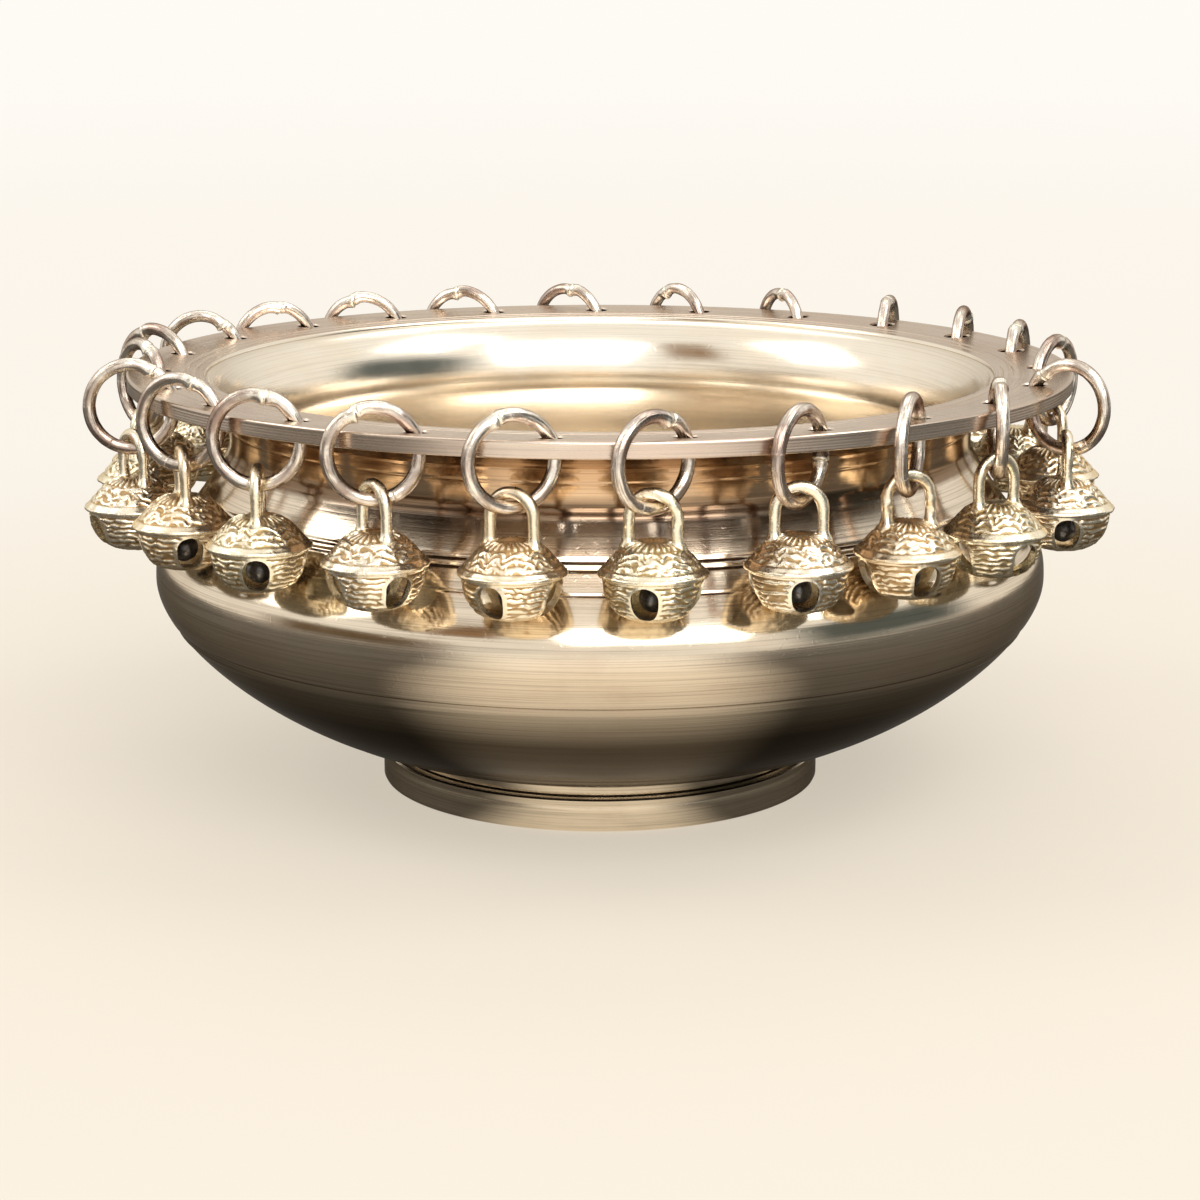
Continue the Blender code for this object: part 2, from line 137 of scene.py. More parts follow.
@dataclass(frozen=True)
class NodeSheet:
    """A material's or a sky's node tree, written through one generic node method."""

    tree: bpy.types.NodeTree

    def node(self, kind: str, settings: dict[str, Any], values: dict[str | int, Any],
             output: str | int = 0) -> Signal:
        """Adds one node.

        Args:
            kind: The node's type.
            settings: What is set on the node itself, such as its operation or a ramp's stops.
            values: A number, colour or signal for each input socket.
            output: The output that the signal stands for.

        Returns:
            The signal of that output.
        """
        made = self.tree.nodes.new(kind)
        for key, value in settings.items():
            if key == "stops":
                self._set_stops(made.color_ramp, value)
            else:
                setattr(made, key, value)
        for key, value in values.items():
            self._fill(made.inputs[key], value)
        return Signal(self, made.outputs[output])

    def feed(self, **values: Any) -> None:
        """Sets or links the sockets of the material's shader.

        Args:
            values: Socket names with _ for spaces, and a number, colour or signal for each.
        """
        shader = self.tree.nodes["Principled BSDF"]
        for key, value in values.items():
            self._fill(shader.inputs[key.replace("_", " ")], value)

    def _fill(self, socket: bpy.types.NodeSocket, value: Any) -> None:
        """Links a signal to a socket, or sets a number, vector or colour on it."""
        if isinstance(value, Signal):
            self.tree.links.new(value.socket, socket)
        elif socket.type == "RGBA":
            socket.default_value = (*value, 1.0)
        else:
            socket.default_value = value

    @staticmethod
    def _set_stops(ramp: bpy.types.ColorRamp, stops: Sequence[tuple[float, Color]]) -> None:
        """Sets a ramp's stops from (position, colour) pairs."""
        while len(ramp.elements) < len(stops):
            ramp.elements.new(1.0)
        for element, (position, color) in zip(ramp.elements, stops):
            element.position = position
            element.color = (*color, 1.0)

    def place(self) -> Signal:
        """The point on the piece, in the piece's own axes."""
        return self.node("ShaderNodeTexCoord", {}, {}, "Object")

    def parts(self, vector: Signal) -> tuple[Signal, Signal, Signal]:
        """The three numbers of a vector."""
        outputs = self.node("ShaderNodeSeparateXYZ", {}, {0: vector}).socket.node.outputs
        return tuple(Signal(self, outputs[i]) for i in range(3))

    def vector(self, x: Signal | float, y: Signal | float, z: Signal | float) -> Signal:
        """A vector made from three numbers."""
        return self.node("ShaderNodeCombineXYZ", {}, {0: x, 1: y, 2: z})

    def mix(self, share: Signal | float, first: Signal | Color, second: Signal | Color,
            how: str = "MIX") -> Signal:
        """Mixes two colours."""
        return self.node("ShaderNodeMix", {"data_type": "RGBA", "blend_type": how},
                         {0: share, 6: first, 7: second}, 2)

    def shaded(self, color: Signal, shade: Signal) -> Signal:
        """A colour, made lighter or darker by a number."""
        return self.mix(1.0, color, self.vector(shade, shade, shade), "MULTIPLY")

    def step(self, value: Signal, low: float, high: float) -> Signal:
        """Rises smoothly from 0 at low to 1 at high."""
        return self.node("ShaderNodeMapRange", {"interpolation_type": "SMOOTHSTEP"},
                         {0: value, 1: low, 2: high})

    def noise(self, vector: Signal, scale: float, detail: float = 2.0, rough: float = 0.5,
              twist: float = 0.0) -> Signal:
        """Cloudy noise about 0.5."""
        return self.node("ShaderNodeTexNoise", {"noise_dimensions": "3D"},
                         {"Vector": vector, "Scale": scale, "Detail": detail,
                          "Roughness": rough, "Distortion": twist})

    def attribute(self, name: str) -> Signal:
        """A number that the mesh holds at each point."""
        return self.node("ShaderNodeAttribute", {"attribute_name": name}, {}, "Fac")

    def ray(self, kind: str) -> Signal:
        """1 for the rays of one kind, else 0."""
        return self.node("ShaderNodeLightPath", {}, {}, f"Is {kind} Ray")

    def seen_directly(self) -> Signal:
        """1 where the camera, a reflection or clear glass looks at the surface, else 0."""
        return (self.ray("Camera") + self.ray("Glossy") + self.ray("Transmission")).clamped()

    def bump(self, height: Signal, depth: float, strength: float = 1.0,
             under: Signal | None = None) -> Signal:
        """Tilts the surface by a height, which 1 raises by depth metres."""
        values: dict[str | int, Any] = {"Strength": strength, "Distance": depth, "Height": height}
        if under is not None:
            values["Normal"] = under
        return self.node("ShaderNodeBump", {}, values)


# Finishes


@dataclass(frozen=True)
class Finish:
    """The recipe of a material."""

    name: str

    def paint(self, sheet: NodeSheet) -> None:
        """Writes the material's nodes. Every kind of finish has its own."""
        raise NotImplementedError

    def make(self) -> bpy.types.Material:
        """Builds the material.

        Returns:
            The finished material.
        """
        material = bpy.data.materials.new(self.name)
        material.use_nodes = True
        self.paint(NodeSheet(material.node_tree))
        return material


@dataclass(frozen=True)
class TurnedBrass(Finish):
    """Brass that was turned on a lathe, with the tool's fine lines running round it."""

    clean: Color
    tarnished: Color
    roughness: float
    line_depth: float = 0.000012
    line_shade: float = 0.25
    lines_per_mm: float = 3.2
    tarnish_and_painted_shade: tuple[tuple[float, Color], ...] = ()
    rim_height: float = 0.0914
    blotch: float = 0.5
    anisotropy: float = 0.6
    edge_tint: Color = (0.66, 0.62, 0.57)

    def paint(self, sheet: NodeSheet) -> None:
        """Brass with stains in clouds and bands, tarnish and painted shade by height, tool lines
        and scratches.
        """
        x, y, height = sheet.parts(sheet.place())
        radius = (x * x + y * y).root()
        across = radius + 0.00001
        round_it = (x / across, y / across, radius, height)
        ring = self.lines_per_mm / MILLIMETRE
        lines = self._round(sheet, *round_it, pitch=ring, drift=2.0, detail=3.0)
        bands = self._round(sheet, *round_it, pitch=ring * 0.12, drift=0.8, detail=2.0)
        clouds = sheet.noise(sheet.place(), 34.0, detail=4.0, rough=0.6, twist=0.6)
        stain = sheet.step(clouds * 0.65 + bands * 0.35, 0.40, 0.66) * self.blotch
        color = sheet.mix(stain, self.clean, self.tarnished)
        # Painted shade and painted reflections by height, with some tarnish: dark lower body,
        # crease and neck under the flange.
        if self.tarnish_and_painted_shade:
            level = height / self.rim_height + (clouds - 0.5) * 0.02
            shade = sheet.node("ShaderNodeValToRGB", {"stops": self.tarnish_and_painted_shade}, {0: level})
            color = sheet.mix(1.0, color, shade, "MULTIPLY")
        color = sheet.shaded(color, 1.0 - self.line_shade * sheet.step(lines, 0.42, 0.72))
        smudge = sheet.noise(sheet.place(), 85.0, detail=3.0, rough=0.65)
        rough = self.roughness + (lines - 0.5) * 0.16 + (smudge - 0.5) * 0.14 + stain * 0.10
        soft = sheet.bump(sheet.noise(sheet.place(), 28.0, detail=1.0), 0.00022, strength=0.35)
        cut = sheet.bump(bands, self.line_depth * 3.0, 0.6, under=soft)
        fine = sheet.bump(lines, self.line_depth, 0.9, under=cut)
        worn = sheet.bump(self._scratches(sheet), self.line_depth * 0.8, 0.5, under=fine)
        sheet.feed(Base_Color=color, Roughness=rough.clamped(), Metallic=1.0, Normal=worn,
                   Anisotropic=self.anisotropy, Anisotropic_Rotation=0.25,
                   Specular_Tint=self.edge_tint)

    @staticmethod
    def _round(sheet: NodeSheet, cosine: Signal, sine: Signal, radius: Signal, height: Signal,
               pitch: float, drift: float, detail: float) -> Signal:
        """Noise that changes fast along the section and slowly round the bowl."""
        vector = sheet.vector(radius * pitch, height * pitch, cosine * drift)
        return sheet.node("ShaderNodeTexNoise", {"noise_dimensions": "4D"},
                          {"Vector": vector, "W": sine * drift, "Scale": 1.0, "Detail": detail})

    @staticmethod
    def _scratches(sheet: NodeSheet) -> Signal:
        """Short random scratches from handling."""
        bent = sheet.node("ShaderNodeMapping", {}, {"Vector": sheet.place(),
                                                    "Rotation": (0.6, 0.9, 0.4),
                                                    "Scale": (900.0, 60.0, 900.0)})
        return sheet.step(sheet.noise(bent, 1.0, detail=1.0, rough=0.4, twist=0.3), 0.64, 0.70)


@dataclass(frozen=True)
class WireBrass(Finish):
    """Drawn wire, dull and pinkish where it was handled, dark where it was heated."""

    clean: Color = (0.92, 0.84, 0.75)
    dull: Color = (0.42, 0.32, 0.26)
    scorched: Color = (0.30, 0.19, 0.15)
    solder: Color = (0.94, 0.90, 0.78)
    edge_tint: Color = (0.30, 0.22, 0.18)
    roughness: float = 0.17

    def paint(self, sheet: NodeSheet) -> None:
        """Wire with drawn streaks, scorched stretches, specks, and solder at its joint."""
        place = sheet.place()
        joint, along, about = [sheet.attribute(name) for name in ("joint", "along", "about")]
        clouds = sheet.noise(place, 210.0, detail=4.0, rough=0.62, twist=0.8)
        drawn = sheet.noise(sheet.vector(about * 5.5, along * 0.16, joint), 1.0, detail=3.0)
        dull = sheet.step(clouds * 0.45 + drawn * 0.55, 0.44, 0.60)
        heat = sheet.step(sheet.noise(place, 75.0, detail=1.0), 0.50, 0.68)
        specks = sheet.step(sheet.noise(place, 1500.0), 0.60, 0.72)
        color = sheet.mix(dull * 0.80, self.clean, self.dull)
        color = sheet.mix(heat * 0.65, color, self.scorched)
        color = sheet.mix(joint * 0.8, color, self.solder)
        color = sheet.mix(specks * 0.45, color, self.dull)
        rough = self.roughness + dull * 0.14 + specks * 0.12 + joint * 0.08
        grain = sheet.bump(drawn, 0.00022, strength=0.6)
        pits = sheet.bump(sheet.noise(place, 900.0, 3.0, 0.6), 0.00007, 0.5, under=grain)
        sheet.feed(Base_Color=color, Roughness=rough.clamped(), Metallic=1.0, Normal=pits,
                   Specular_Tint=self.edge_tint)


@dataclass(frozen=True)
class CastBrass(Finish):
    """Rough cast brass: bright on its raised pattern and brown in the hollows of it."""

    raised: Color = (1.00, 0.91, 0.74)
    hollow: Color = (0.48, 0.33, 0.17)
    roughness: float = 0.26
    edge_tint: Color = (0.66, 0.56, 0.42)

    def paint(self, sheet: NodeSheet) -> None:
        """Brass coloured by the height of its cast pattern, with stains, lumps and pits."""
        place = sheet.place()
        clouds = sheet.noise(place, 260.0, detail=4.0, rough=0.6, twist=0.5)
        grain = sheet.noise(place, 1900.0, detail=3.0, rough=0.65)
        height = sheet.attribute("relief") + (clouds - 0.5) * 0.34 + (grain - 0.5) * 0.22
        lit = sheet.step(height, 0.20, 0.62)
        color = sheet.mix(lit, self.hollow, self.raised)
        stain = sheet.step(clouds, 0.52, 0.72) * 0.35
        color = sheet.mix(stain, color, tuple(0.62 * part for part in self.raised))
        rough = self.roughness + (1.0 - lit) * 0.22 + (grain - 0.5) * 0.16
        lumps = sheet.bump(sheet.noise(place, 620.0, 3.0, 0.6), 0.00016, strength=0.55)
        pits = sheet.bump(grain, 0.00006, 0.7, under=lumps)
        sheet.feed(Base_Color=color, Roughness=rough.clamped(), Metallic=1.0, Normal=pits,
                   Specular_Tint=self.edge_tint)


@dataclass(frozen=True)
class DarkCasting(Finish):
    """The dark, unpolished inside of a bell, and the iron of a pellet."""

    ground: Color
    spots: Color
    roughness: float
    metallic: float
    spot_scale: float = 700.0

    def paint(self, sheet: NodeSheet) -> None:
        """A dark ground with rougher spots."""
        clouds = sheet.noise(sheet.place(), self.spot_scale, detail=4.0, rough=0.65, twist=0.4)
        spots = sheet.step(clouds, 0.46, 0.66)
        rough = self.roughness + spots * 0.15
        sheet.feed(Base_Color=sheet.mix(spots, self.ground, self.spots),
                   Roughness=rough.clamped(), Metallic=self.metallic,
                   Normal=sheet.bump(clouds, 0.00012, strength=0.7))


@dataclass(frozen=True)
class StudioPaper(Finish):
    """Pale paper of the floor, lit near the bowl and plain where it runs out of sight.

    In reflections only, the paper beside the bowl gets painted shade and the paper in front
    of the bowl a painted pool of light.
    """

    near: Color = (0.870, 0.785, 0.655)
    middle: Color = (0.940, 0.885, 0.800)
    far: Color = (0.955, 0.925, 0.870)
    plain_near: float = 0.62
    reach: tuple[float, float] = (0.10, 0.50)
    beside_painted_shade: float = 0.84
    front_painted_light: float = 0.30
    front_azimuth: float = -1.0
    front_edge: tuple[float, float] = (0.76, 0.98)

    def paint(self, sheet: NodeSheet) -> None:
        """Rings of paler paper round the bowl, with painted shade and painted light that only
        reflections see.
        """
        x, y, _ = sheet.parts(sheet.place())
        distance = (x * x + y * y).root()
        start, end = self.reach
        color = sheet.mix(sheet.step(distance, start, end), self.near, self.middle)
        color = sheet.mix(sheet.step(distance, end, 6.0 * end), color, self.far)
        plain = self.plain_near + (1.0 - self.plain_near) * sheet.step(distance, start, end)
        glow = plain * sheet.seen_directly()
        turn = math.radians(self.front_azimuth)
        ahead = x * math.sin(turn) - y * math.cos(turn)
        front = sheet.step(ahead / (distance + 0.001), *self.front_edge)
        nearby = 1.0 - sheet.step(distance, end, 3.0 * end)
        # Painted shade beside the bowl and a painted pool of light in front, seen only in
        # reflections in the brass.
        change = front * self.front_painted_light - (1.0 - front) * self.beside_painted_shade
        color = sheet.shaded(color, 1.0 + change * nearby * sheet.ray("Glossy"))
        sheet.feed(Base_Color=sheet.mix(glow, color, BLACK), Roughness=0.9,
                   Specular_IOR_Level=0.1, Emission_Color=sheet.mix(glow, BLACK, color),
                   Emission_Strength=1.0)


@dataclass(frozen=True)
class ReflectionCardColor(Finish):
    """The card's even dark colour, a painted dark reflection that only the brass sees."""

    color: Color
    soft_edge: float = 0.30

    def paint(self, sheet: NodeSheet) -> None:
        """One even colour that fades out towards the card's edges."""
        x, _, z = sheet.parts(sheet.node("ShaderNodeTexCoord", {}, {}, "Generated"))
        soft = self.soft_edge
        across = sheet.step(x, 0.0, soft) * sheet.step(1.0 - x, 0.0, soft)
        alpha = across * sheet.step(1.0 - z, 0.0, soft) * sheet.step(z, -0.5 * soft, 0.5 * soft)
        sheet.feed(Base_Color=BLACK, Roughness=1.0, Specular_IOR_Level=0.0,
                   Emission_Color=self.color, Emission_Strength=1.0, Alpha=alpha)


# Mesh helpers


def bezier(start: Point, start_handle: Point, end_handle: Point, end: Point,
           count: int) -> list[Point]:
    """Points along a cubic curve, ends included.

    Args:
        start: Where it starts.
        start_handle: The handle at its start.
        end_handle: The handle at its end.
        end: Where it ends.
        count: How many stretches it is cut into.

    Returns:
        The points.
    """
    t = np.linspace(0.0, 1.0, count + 1)[:, None]
    corners = [np.array(corner) for corner in (start, start_handle, end_handle, end)]
    weights = ((1 - t) ** 3, 3 * t * (1 - t) ** 2, 3 * t * t * (1 - t), t ** 3)
    return list(map(tuple, sum(weight * corner for weight, corner in zip(weights, corners))))


def chain(start: Point, *curves: tuple[Point, Point, Point, int]) -> list[Point]:
    """Points along cubic curves that are joined end to end.

    Args:
        start: Where the first curve starts.
        curves: Each curve's two handles, its end and its count of stretches.

    Returns:
        The points.
    """
    made = [start]
    for start_handle, end_handle, end, count in curves:
        made += bezier(made[-1], start_handle, end_handle, end, count)[1:]
    return made


def right_of(line: np.ndarray) -> np.ndarray:
    """Unit vectors that point to the right of a line's run, one for each of its points."""
    along = np.gradient(line, axis=0)
    along /= np.linalg.norm(along, axis=1, keepdims=True)
    return np.stack([along[:, 1], -along[:, 0]], axis=1)


def about_axis(radius: np.ndarray, angle: np.ndarray, height: np.ndarray | float) -> np.ndarray:
    """Points round the Z axis, at angles in radians from the front towards +X."""
    place = (radius * np.sin(angle), -radius * np.cos(angle), height)
    return np.stack(np.broadcast_arrays(*place), axis=-1)


def turned_points(section: Sequence[Point], segments: int) -> np.ndarray:
    """Turns (radius, height) points round the Z axis, a ring of corners for each."""
    flat = np.array(section)
    turn = np.arange(segments) * (math.tau / segments)
    return about_axis(flat[:, :1], turn, flat[:, 1:]).reshape(-1, 3)


def smooth_step(value: np.ndarray, low: float, high: float) -> np.ndarray:
    """Rises smoothly from 0 at low to 1 at high."""
    t = np.clip((value - low) / (high - low), 0.0, 1.0)
    return t * t * (3.0 - 2.0 * t)


def hump(value: np.ndarray, width: float) -> np.ndarray:
    """A rounded hump of height 1 at 0."""
    return np.exp(-(value / width) ** 2)


def ripple(points: np.ndarray, size: float, seed: int, count: int = 14) -> np.ndarray:
    """Smooth random heights of about -1 to 1 at points in space.

    Args:
        points: The points, one a row.
        size: How far apart the bumps lie.
        seed: Which random bumps.
        count: How many waves are summed.

    Returns:
        One height for each point.
    """
    chance = np.random.default_rng(seed)
    ways = chance.normal(size=(count, 3))
    ways *= chance.uniform(0.6, 1.5, (count, 1)) / np.linalg.norm(ways, axis=1, keepdims=True)
    phases = chance.uniform(0.0, math.tau, count)
    waves = np.sin(points @ ways.T * (math.tau / size) + phases)
    return waves.sum(axis=1) / math.sqrt(count / 2.0) / 1.6


def new_object(name: str, data: bpy.types.ID) -> bpy.types.Object:
    """Puts a mesh, lamp or camera into the scene as a named object."""
    made = bpy.data.objects.new(name, data)
    bpy.context.scene.collection.objects.link(made)
    return made


def mesh_from(name: str, points: np.ndarray, faces: Sequence[Sequence[int]],
              slots: Sequence[int] | None = None) -> bpy.types.Mesh:
    """Makes a welded, smooth mesh whose faces point outward.

    Args:
        name: The mesh's name.
        points: The corners, one a row.
        faces: The corner numbers of each face.
        slots: The material slot of each face.

    Returns:
        The mesh.
    """
    mesh = bpy.data.meshes.new(name)
    mesh.from_pydata(points.tolist(), [], faces)
    if slots is not None:
        mesh.polygons.foreach_set("material_index", np.array(slots, np.int32))
    shape = bmesh.new()
    shape.from_mesh(mesh)
    bmesh.ops.remove_doubles(shape, verts=shape.verts, dist=WELD)
    bmesh.ops.dissolve_degenerate(shape, edges=shape.edges, dist=WELD)
    bmesh.ops.recalc_face_normals(shape, faces=shape.faces)
    shape.to_mesh(mesh)
    shape.free()
    mesh.shade_smooth()
    return mesh


def grid_faces(rows: int, columns: int, first: int = 0) -> Faces:
    """Faces between rows of corners whose columns close into a ring."""
    made = []
    for row in range(rows - 1):
        base = first + row * columns
        for column in range(columns):
            beside = (column + 1) % columns
            made.append((base + column, base + beside, base + columns + beside,
                         base + columns + column))
    return made


def capped_faces(rows: int, columns: int, first: int = 0, way: int = 1) -> Faces:
    """Faces of a tube with both ends closed; way -1 turns the first end's face over."""
    ends = [tuple(range(start, start + columns))
            for start in (first, first + (rows - 1) * columns)]
    return grid_faces(rows, columns, first) + [ends[0][::way], ends[1]]


def hold_numbers(mesh: bpy.types.Mesh, name: str, values: np.ndarray) -> None:
    """Keeps one number for each corner of a mesh, for its material to read."""
    layer = mesh.attributes.new(name, "FLOAT", "POINT")
    layer.data.foreach_set("value", values.astype(np.float32))


# The bowl


@dataclass(frozen=True)
class ToolLine:
    """A line that the lathe's tool left: a groove if its depth is positive, else a bead."""

    height: float
    width: float
    depth: float


@dataclass
class TurnedBowl:
    """The turned bowl: flange with its drilled holes, neck, shoulder, belly and foot ring."""

    rim_radius: float = 0.1016
    rim_height: float = 0.0914
    flange_width: float = 0.0168
    flange_thickness: float = 0.0034
    flange_dish: float = 0.0009
    edge_break: float = 0.0005
    mouth_bevel: float = 0.0003
    mouth_lines: tuple[float, ...] = (0.0024, 0.0046)
    mouth_line_depth: float = 0.00022
    mouth_line_width: float = 0.00030
    wall: float = 0.0032
    neck_root_gap: float = 0.0138
    waist_radius: float = 0.0803
    waist_drop: float = 0.0154
    crease_step: float = 0.0010
    crease_drop: float = 0.0032
    shoulder_slope: float = 31.0
    belly_radius: float = 0.0968
    belly_height: float = 0.0468
    underside_slope: float = 10.0
    foot_radius: float = 0.0482
    foot_height: float = 0.0070
    foot_width: float = 0.0044
    foot_neck_step: float = 0.0024
    foot_neck_height: float = 0.0024
    foot_recess: float = 0.0060
    hole_inset: float = 0.0069
    hole_radius: float = 0.0027
    hole_chamfer: float = 0.00035
    band_half: float = 0.0040
    segments_between_holes: int = 12
    side_stretches: int = 4
    sharp_angle: float = 38.0
    lines: tuple[ToolLine, ...] = (
        ToolLine(0.0826, 0.0007, 0.00010),
        ToolLine(0.0797, 0.0006, -0.00008),
        ToolLine(0.0657, 0.0007, 0.00016),
        ToolLine(0.0643, 0.0007, 0.00016),
        ToolLine(0.0600, 0.0005, 0.00006),
        ToolLine(0.0381, 0.0011, 0.00030),
        ToolLine(0.0366, 0.0009, -0.00012),
        ToolLine(0.0160, 0.0008, 0.00012),
    )

    @property
    def mouth_radius(self) -> float:
        """Radius of the flange's inner edge."""
        return self.rim_radius - self.flange_width

    @property
    def underside(self) -> float:
        """Height of the flange's underside."""
        return self.rim_height - self.flange_thickness

    @property
    def hole_circle(self) -> float:
        """Radius of the circle on which the holes lie."""
        return self.rim_radius - self.hole_inset

    @property
    def foot_neck(self) -> float:
        """Radius of the narrow neck above the foot ring."""
        return self.foot_radius - self.foot_neck_step

    @property
    def hole_turns(self) -> np.ndarray:
        """Angles of the corners round a hole, which match the corners of its band's edge."""
        count = self.segments_between_holes
        total = 2 * (count + self.side_stretches)
        start = -math.pi / 2 - math.pi * count / total
        return start + np.arange(total) * (math.tau / total)

    def top_height(self, radius: np.ndarray | float) -> np.ndarray | float:
        """Height of the flange's top at a radius, dished towards the mouth."""
        share = (radius - self.mouth_radius) / self.flange_width
        return self.rim_height - self.flange_dish * (1.0 - share)

    def outer_section(self) -> list[Point]:
        """Outer side, from the neck's root under the flange to the foot's neck, without lines."""
        root_x, root_z = self.rim_radius - self.neck_root_gap, self.underside
        waist_x, waist_z = self.waist_radius, self.rim_height - self.waist_drop
        crease_x, crease_z = waist_x + self.crease_step, waist_z - self.crease_drop
        belly_x, belly_z = self.belly_radius, self.belly_height
        under_x, under_z = self.foot_neck, self.foot_height + self.foot_neck_height
        slope, rise = math.radians(self.shoulder_slope), math.radians(self.underside_slope)
        neck_drop, drop = root_z - waist_z, crease_z - belly_z
        reach, run = 0.90 * drop, 0.50 * (belly_x - under_x)
        neck = ((root_x - 0.55 * (root_x - waist_x), root_z - 0.12 * neck_drop),
                (waist_x, waist_z + 0.55 * neck_drop), (waist_x, waist_z), 22)
        fillet = ((waist_x, waist_z - 0.5 * self.crease_drop),
                  (crease_x - 0.2 * self.crease_step, crease_z + 0.25 * self.crease_drop),
                  (crease_x, crease_z), 7)
        shoulder = ((crease_x + reach * math.sin(slope), crease_z - reach * math.cos(slope)),
                    (belly_x, belly_z + 0.40 * drop), (belly_x, belly_z), 74)
        lower = ((belly_x, belly_z - 0.32 * (belly_z - under_z)),
                 (under_x + run * math.cos(rise), under_z + run * math.sin(rise)),
                 (under_x, under_z), 90)
        return chain((root_x, root_z), neck, fillet, shoulder, lower)

    def lined_section(self) -> list[Point]:
        """Outer side with the tool lines cut into it."""
        flat = np.array(self._refined(self.outer_section()))
        depth = np.zeros(len(flat))
        for line in self.lines:
            depth += line.depth * hump(flat[:, 1] - line.height, 0.5 * line.width)
        return list(map(tuple, flat + right_of(flat) * depth[:, None]))

    def _refined(self, section: list[Point], finer: int = 4) -> list[Point]:
        """Adds points where a tool line runs."""
        made = []
        for here, after in zip(section, section[1:]):
            low, high = sorted((here[1], after[1]))
            near = any(low - line.width < line.height < high + line.width for line in self.lines)
            count = finer if near else 1
            for t in (part / count for part in range(count)):
                made.append(tuple(a + t * (b - a) for a, b in zip(here, after)))
        return made + [section[-1]]

    def inner_section(self) -> list[Point]:
        """Inner side, from the middle of the floor up to the mouth."""
        outer = np.array(self.outer_section())[::2]
        inside = (outer + self.wall * right_of(outer))[2:-1]
        floor, neck = self.foot_recess + self.wall, self.foot_neck
        middle = [(0.0, floor), (0.002, floor), (neck * 0.3, floor + 0.0001),
                  (neck * 0.62, floor + 0.0004)]
        join = bezier(middle[-1], (neck * 0.8, floor + 0.0007),
                      (inside[-1][0] - 0.004, inside[-1][1] - 0.0007), tuple(inside[-1]), 8)
        mouth, lip = self.mouth_radius, self.rim_height - self.flange_dish
        edge = [(mouth - 0.00004, lip - 0.0007), (mouth + 0.00005, lip - 0.0003),
                (mouth + self.mouth_bevel, lip - 0.00004)]
        return middle + join[1:-1] + list(map(tuple, inside[::-1])) + edge

    def top_inner(self) -> list[Point]:
        """The flange's top from the mouth to the band of holes, with its turned lines."""
        start, end = self.mouth_radius + self.mouth_bevel, self.hole_circle - self.band_half
        made = []
        for radius in np.linspace(start, end, 26)[1:]:
            dip = sum(self.mouth_line_depth
                      * hump(radius - (self.mouth_radius + line), self.mouth_line_width)
                      for line in self.mouth_lines)
            made.append((radius, self.top_height(radius) - dip))
        return made[:-1] + [(end, self.top_height(end))]

    def face(self) -> list[Point]:
        """The flange's outer face, from the band of holes on top to the band below."""
        outer, top, low, soft = self.rim_radius, self.rim_height, self.underside, self.edge_break
        start = self.hole_circle + self.band_half
        made = [(radius, self.top_height(radius)) for radius in np.linspace(start, outer - soft, 5)]
        made += bezier(made[-1], (outer - 0.4 * soft, top), (outer, top - 0.4 * soft),
                       (outer, top - soft), 4)[1:]
        heights = np.linspace(top - soft, low + soft, 12)[1:]
        made += [(outer - 0.00006 * math.sin(i * 1.9) ** 2, height)
                 for i, height in enumerate(heights)]
        made += bezier(made[-1], (outer, low + 0.4 * soft), (outer - 0.4 * soft, low),
                       (outer - soft, low), 3)[1:]
        return made + [(radius, low) for radius in np.linspace(outer - soft, start, 4)[1:]]

    def below(self) -> list[tuple[Point, Side]]:
        """From the band of holes on the underside down the body to the middle of the recess."""
        root = self.rim_radius - self.neck_root_gap
        flat = [(radius, self.underside)
                for radius in np.linspace(self.hole_circle - self.band_half, root, 4)]
        neck, top, radius = self.foot_neck, self.foot_height, self.foot_radius
        inside, recess = self.foot_radius - self.foot_width, self.foot_recess
        foot = [(neck, top + 0.0012), (neck, top + 0.0003), (neck + 0.0003, top),
                (radius - 0.0009, top), (radius - 0.0003, top - 0.00005), (radius, top - 0.0004),
                (radius, top - 0.0012), (radius - 0.0001, top - 0.0015), (radius, top - 0.0018),
                (radius, 0.0038), (radius, 0.0026), (radius, 0.0012), (radius, 0.0005),
                (radius - 0.0002, 0.0001), (radius - 0.0005, 0.0), (inside + 0.0003, 0.0),
                (inside, 0.0003), (inside, recess - 0.0004), (inside - 0.0004, recess),
                (inside * 0.6, recess), (inside * 0.2, recess), (0.0, recess)]
        return ([(point, Side.OUTSIDE) for point in flat[:-1] + self.lined_section()]
                + [(point, Side.FOOT) for point in foot])

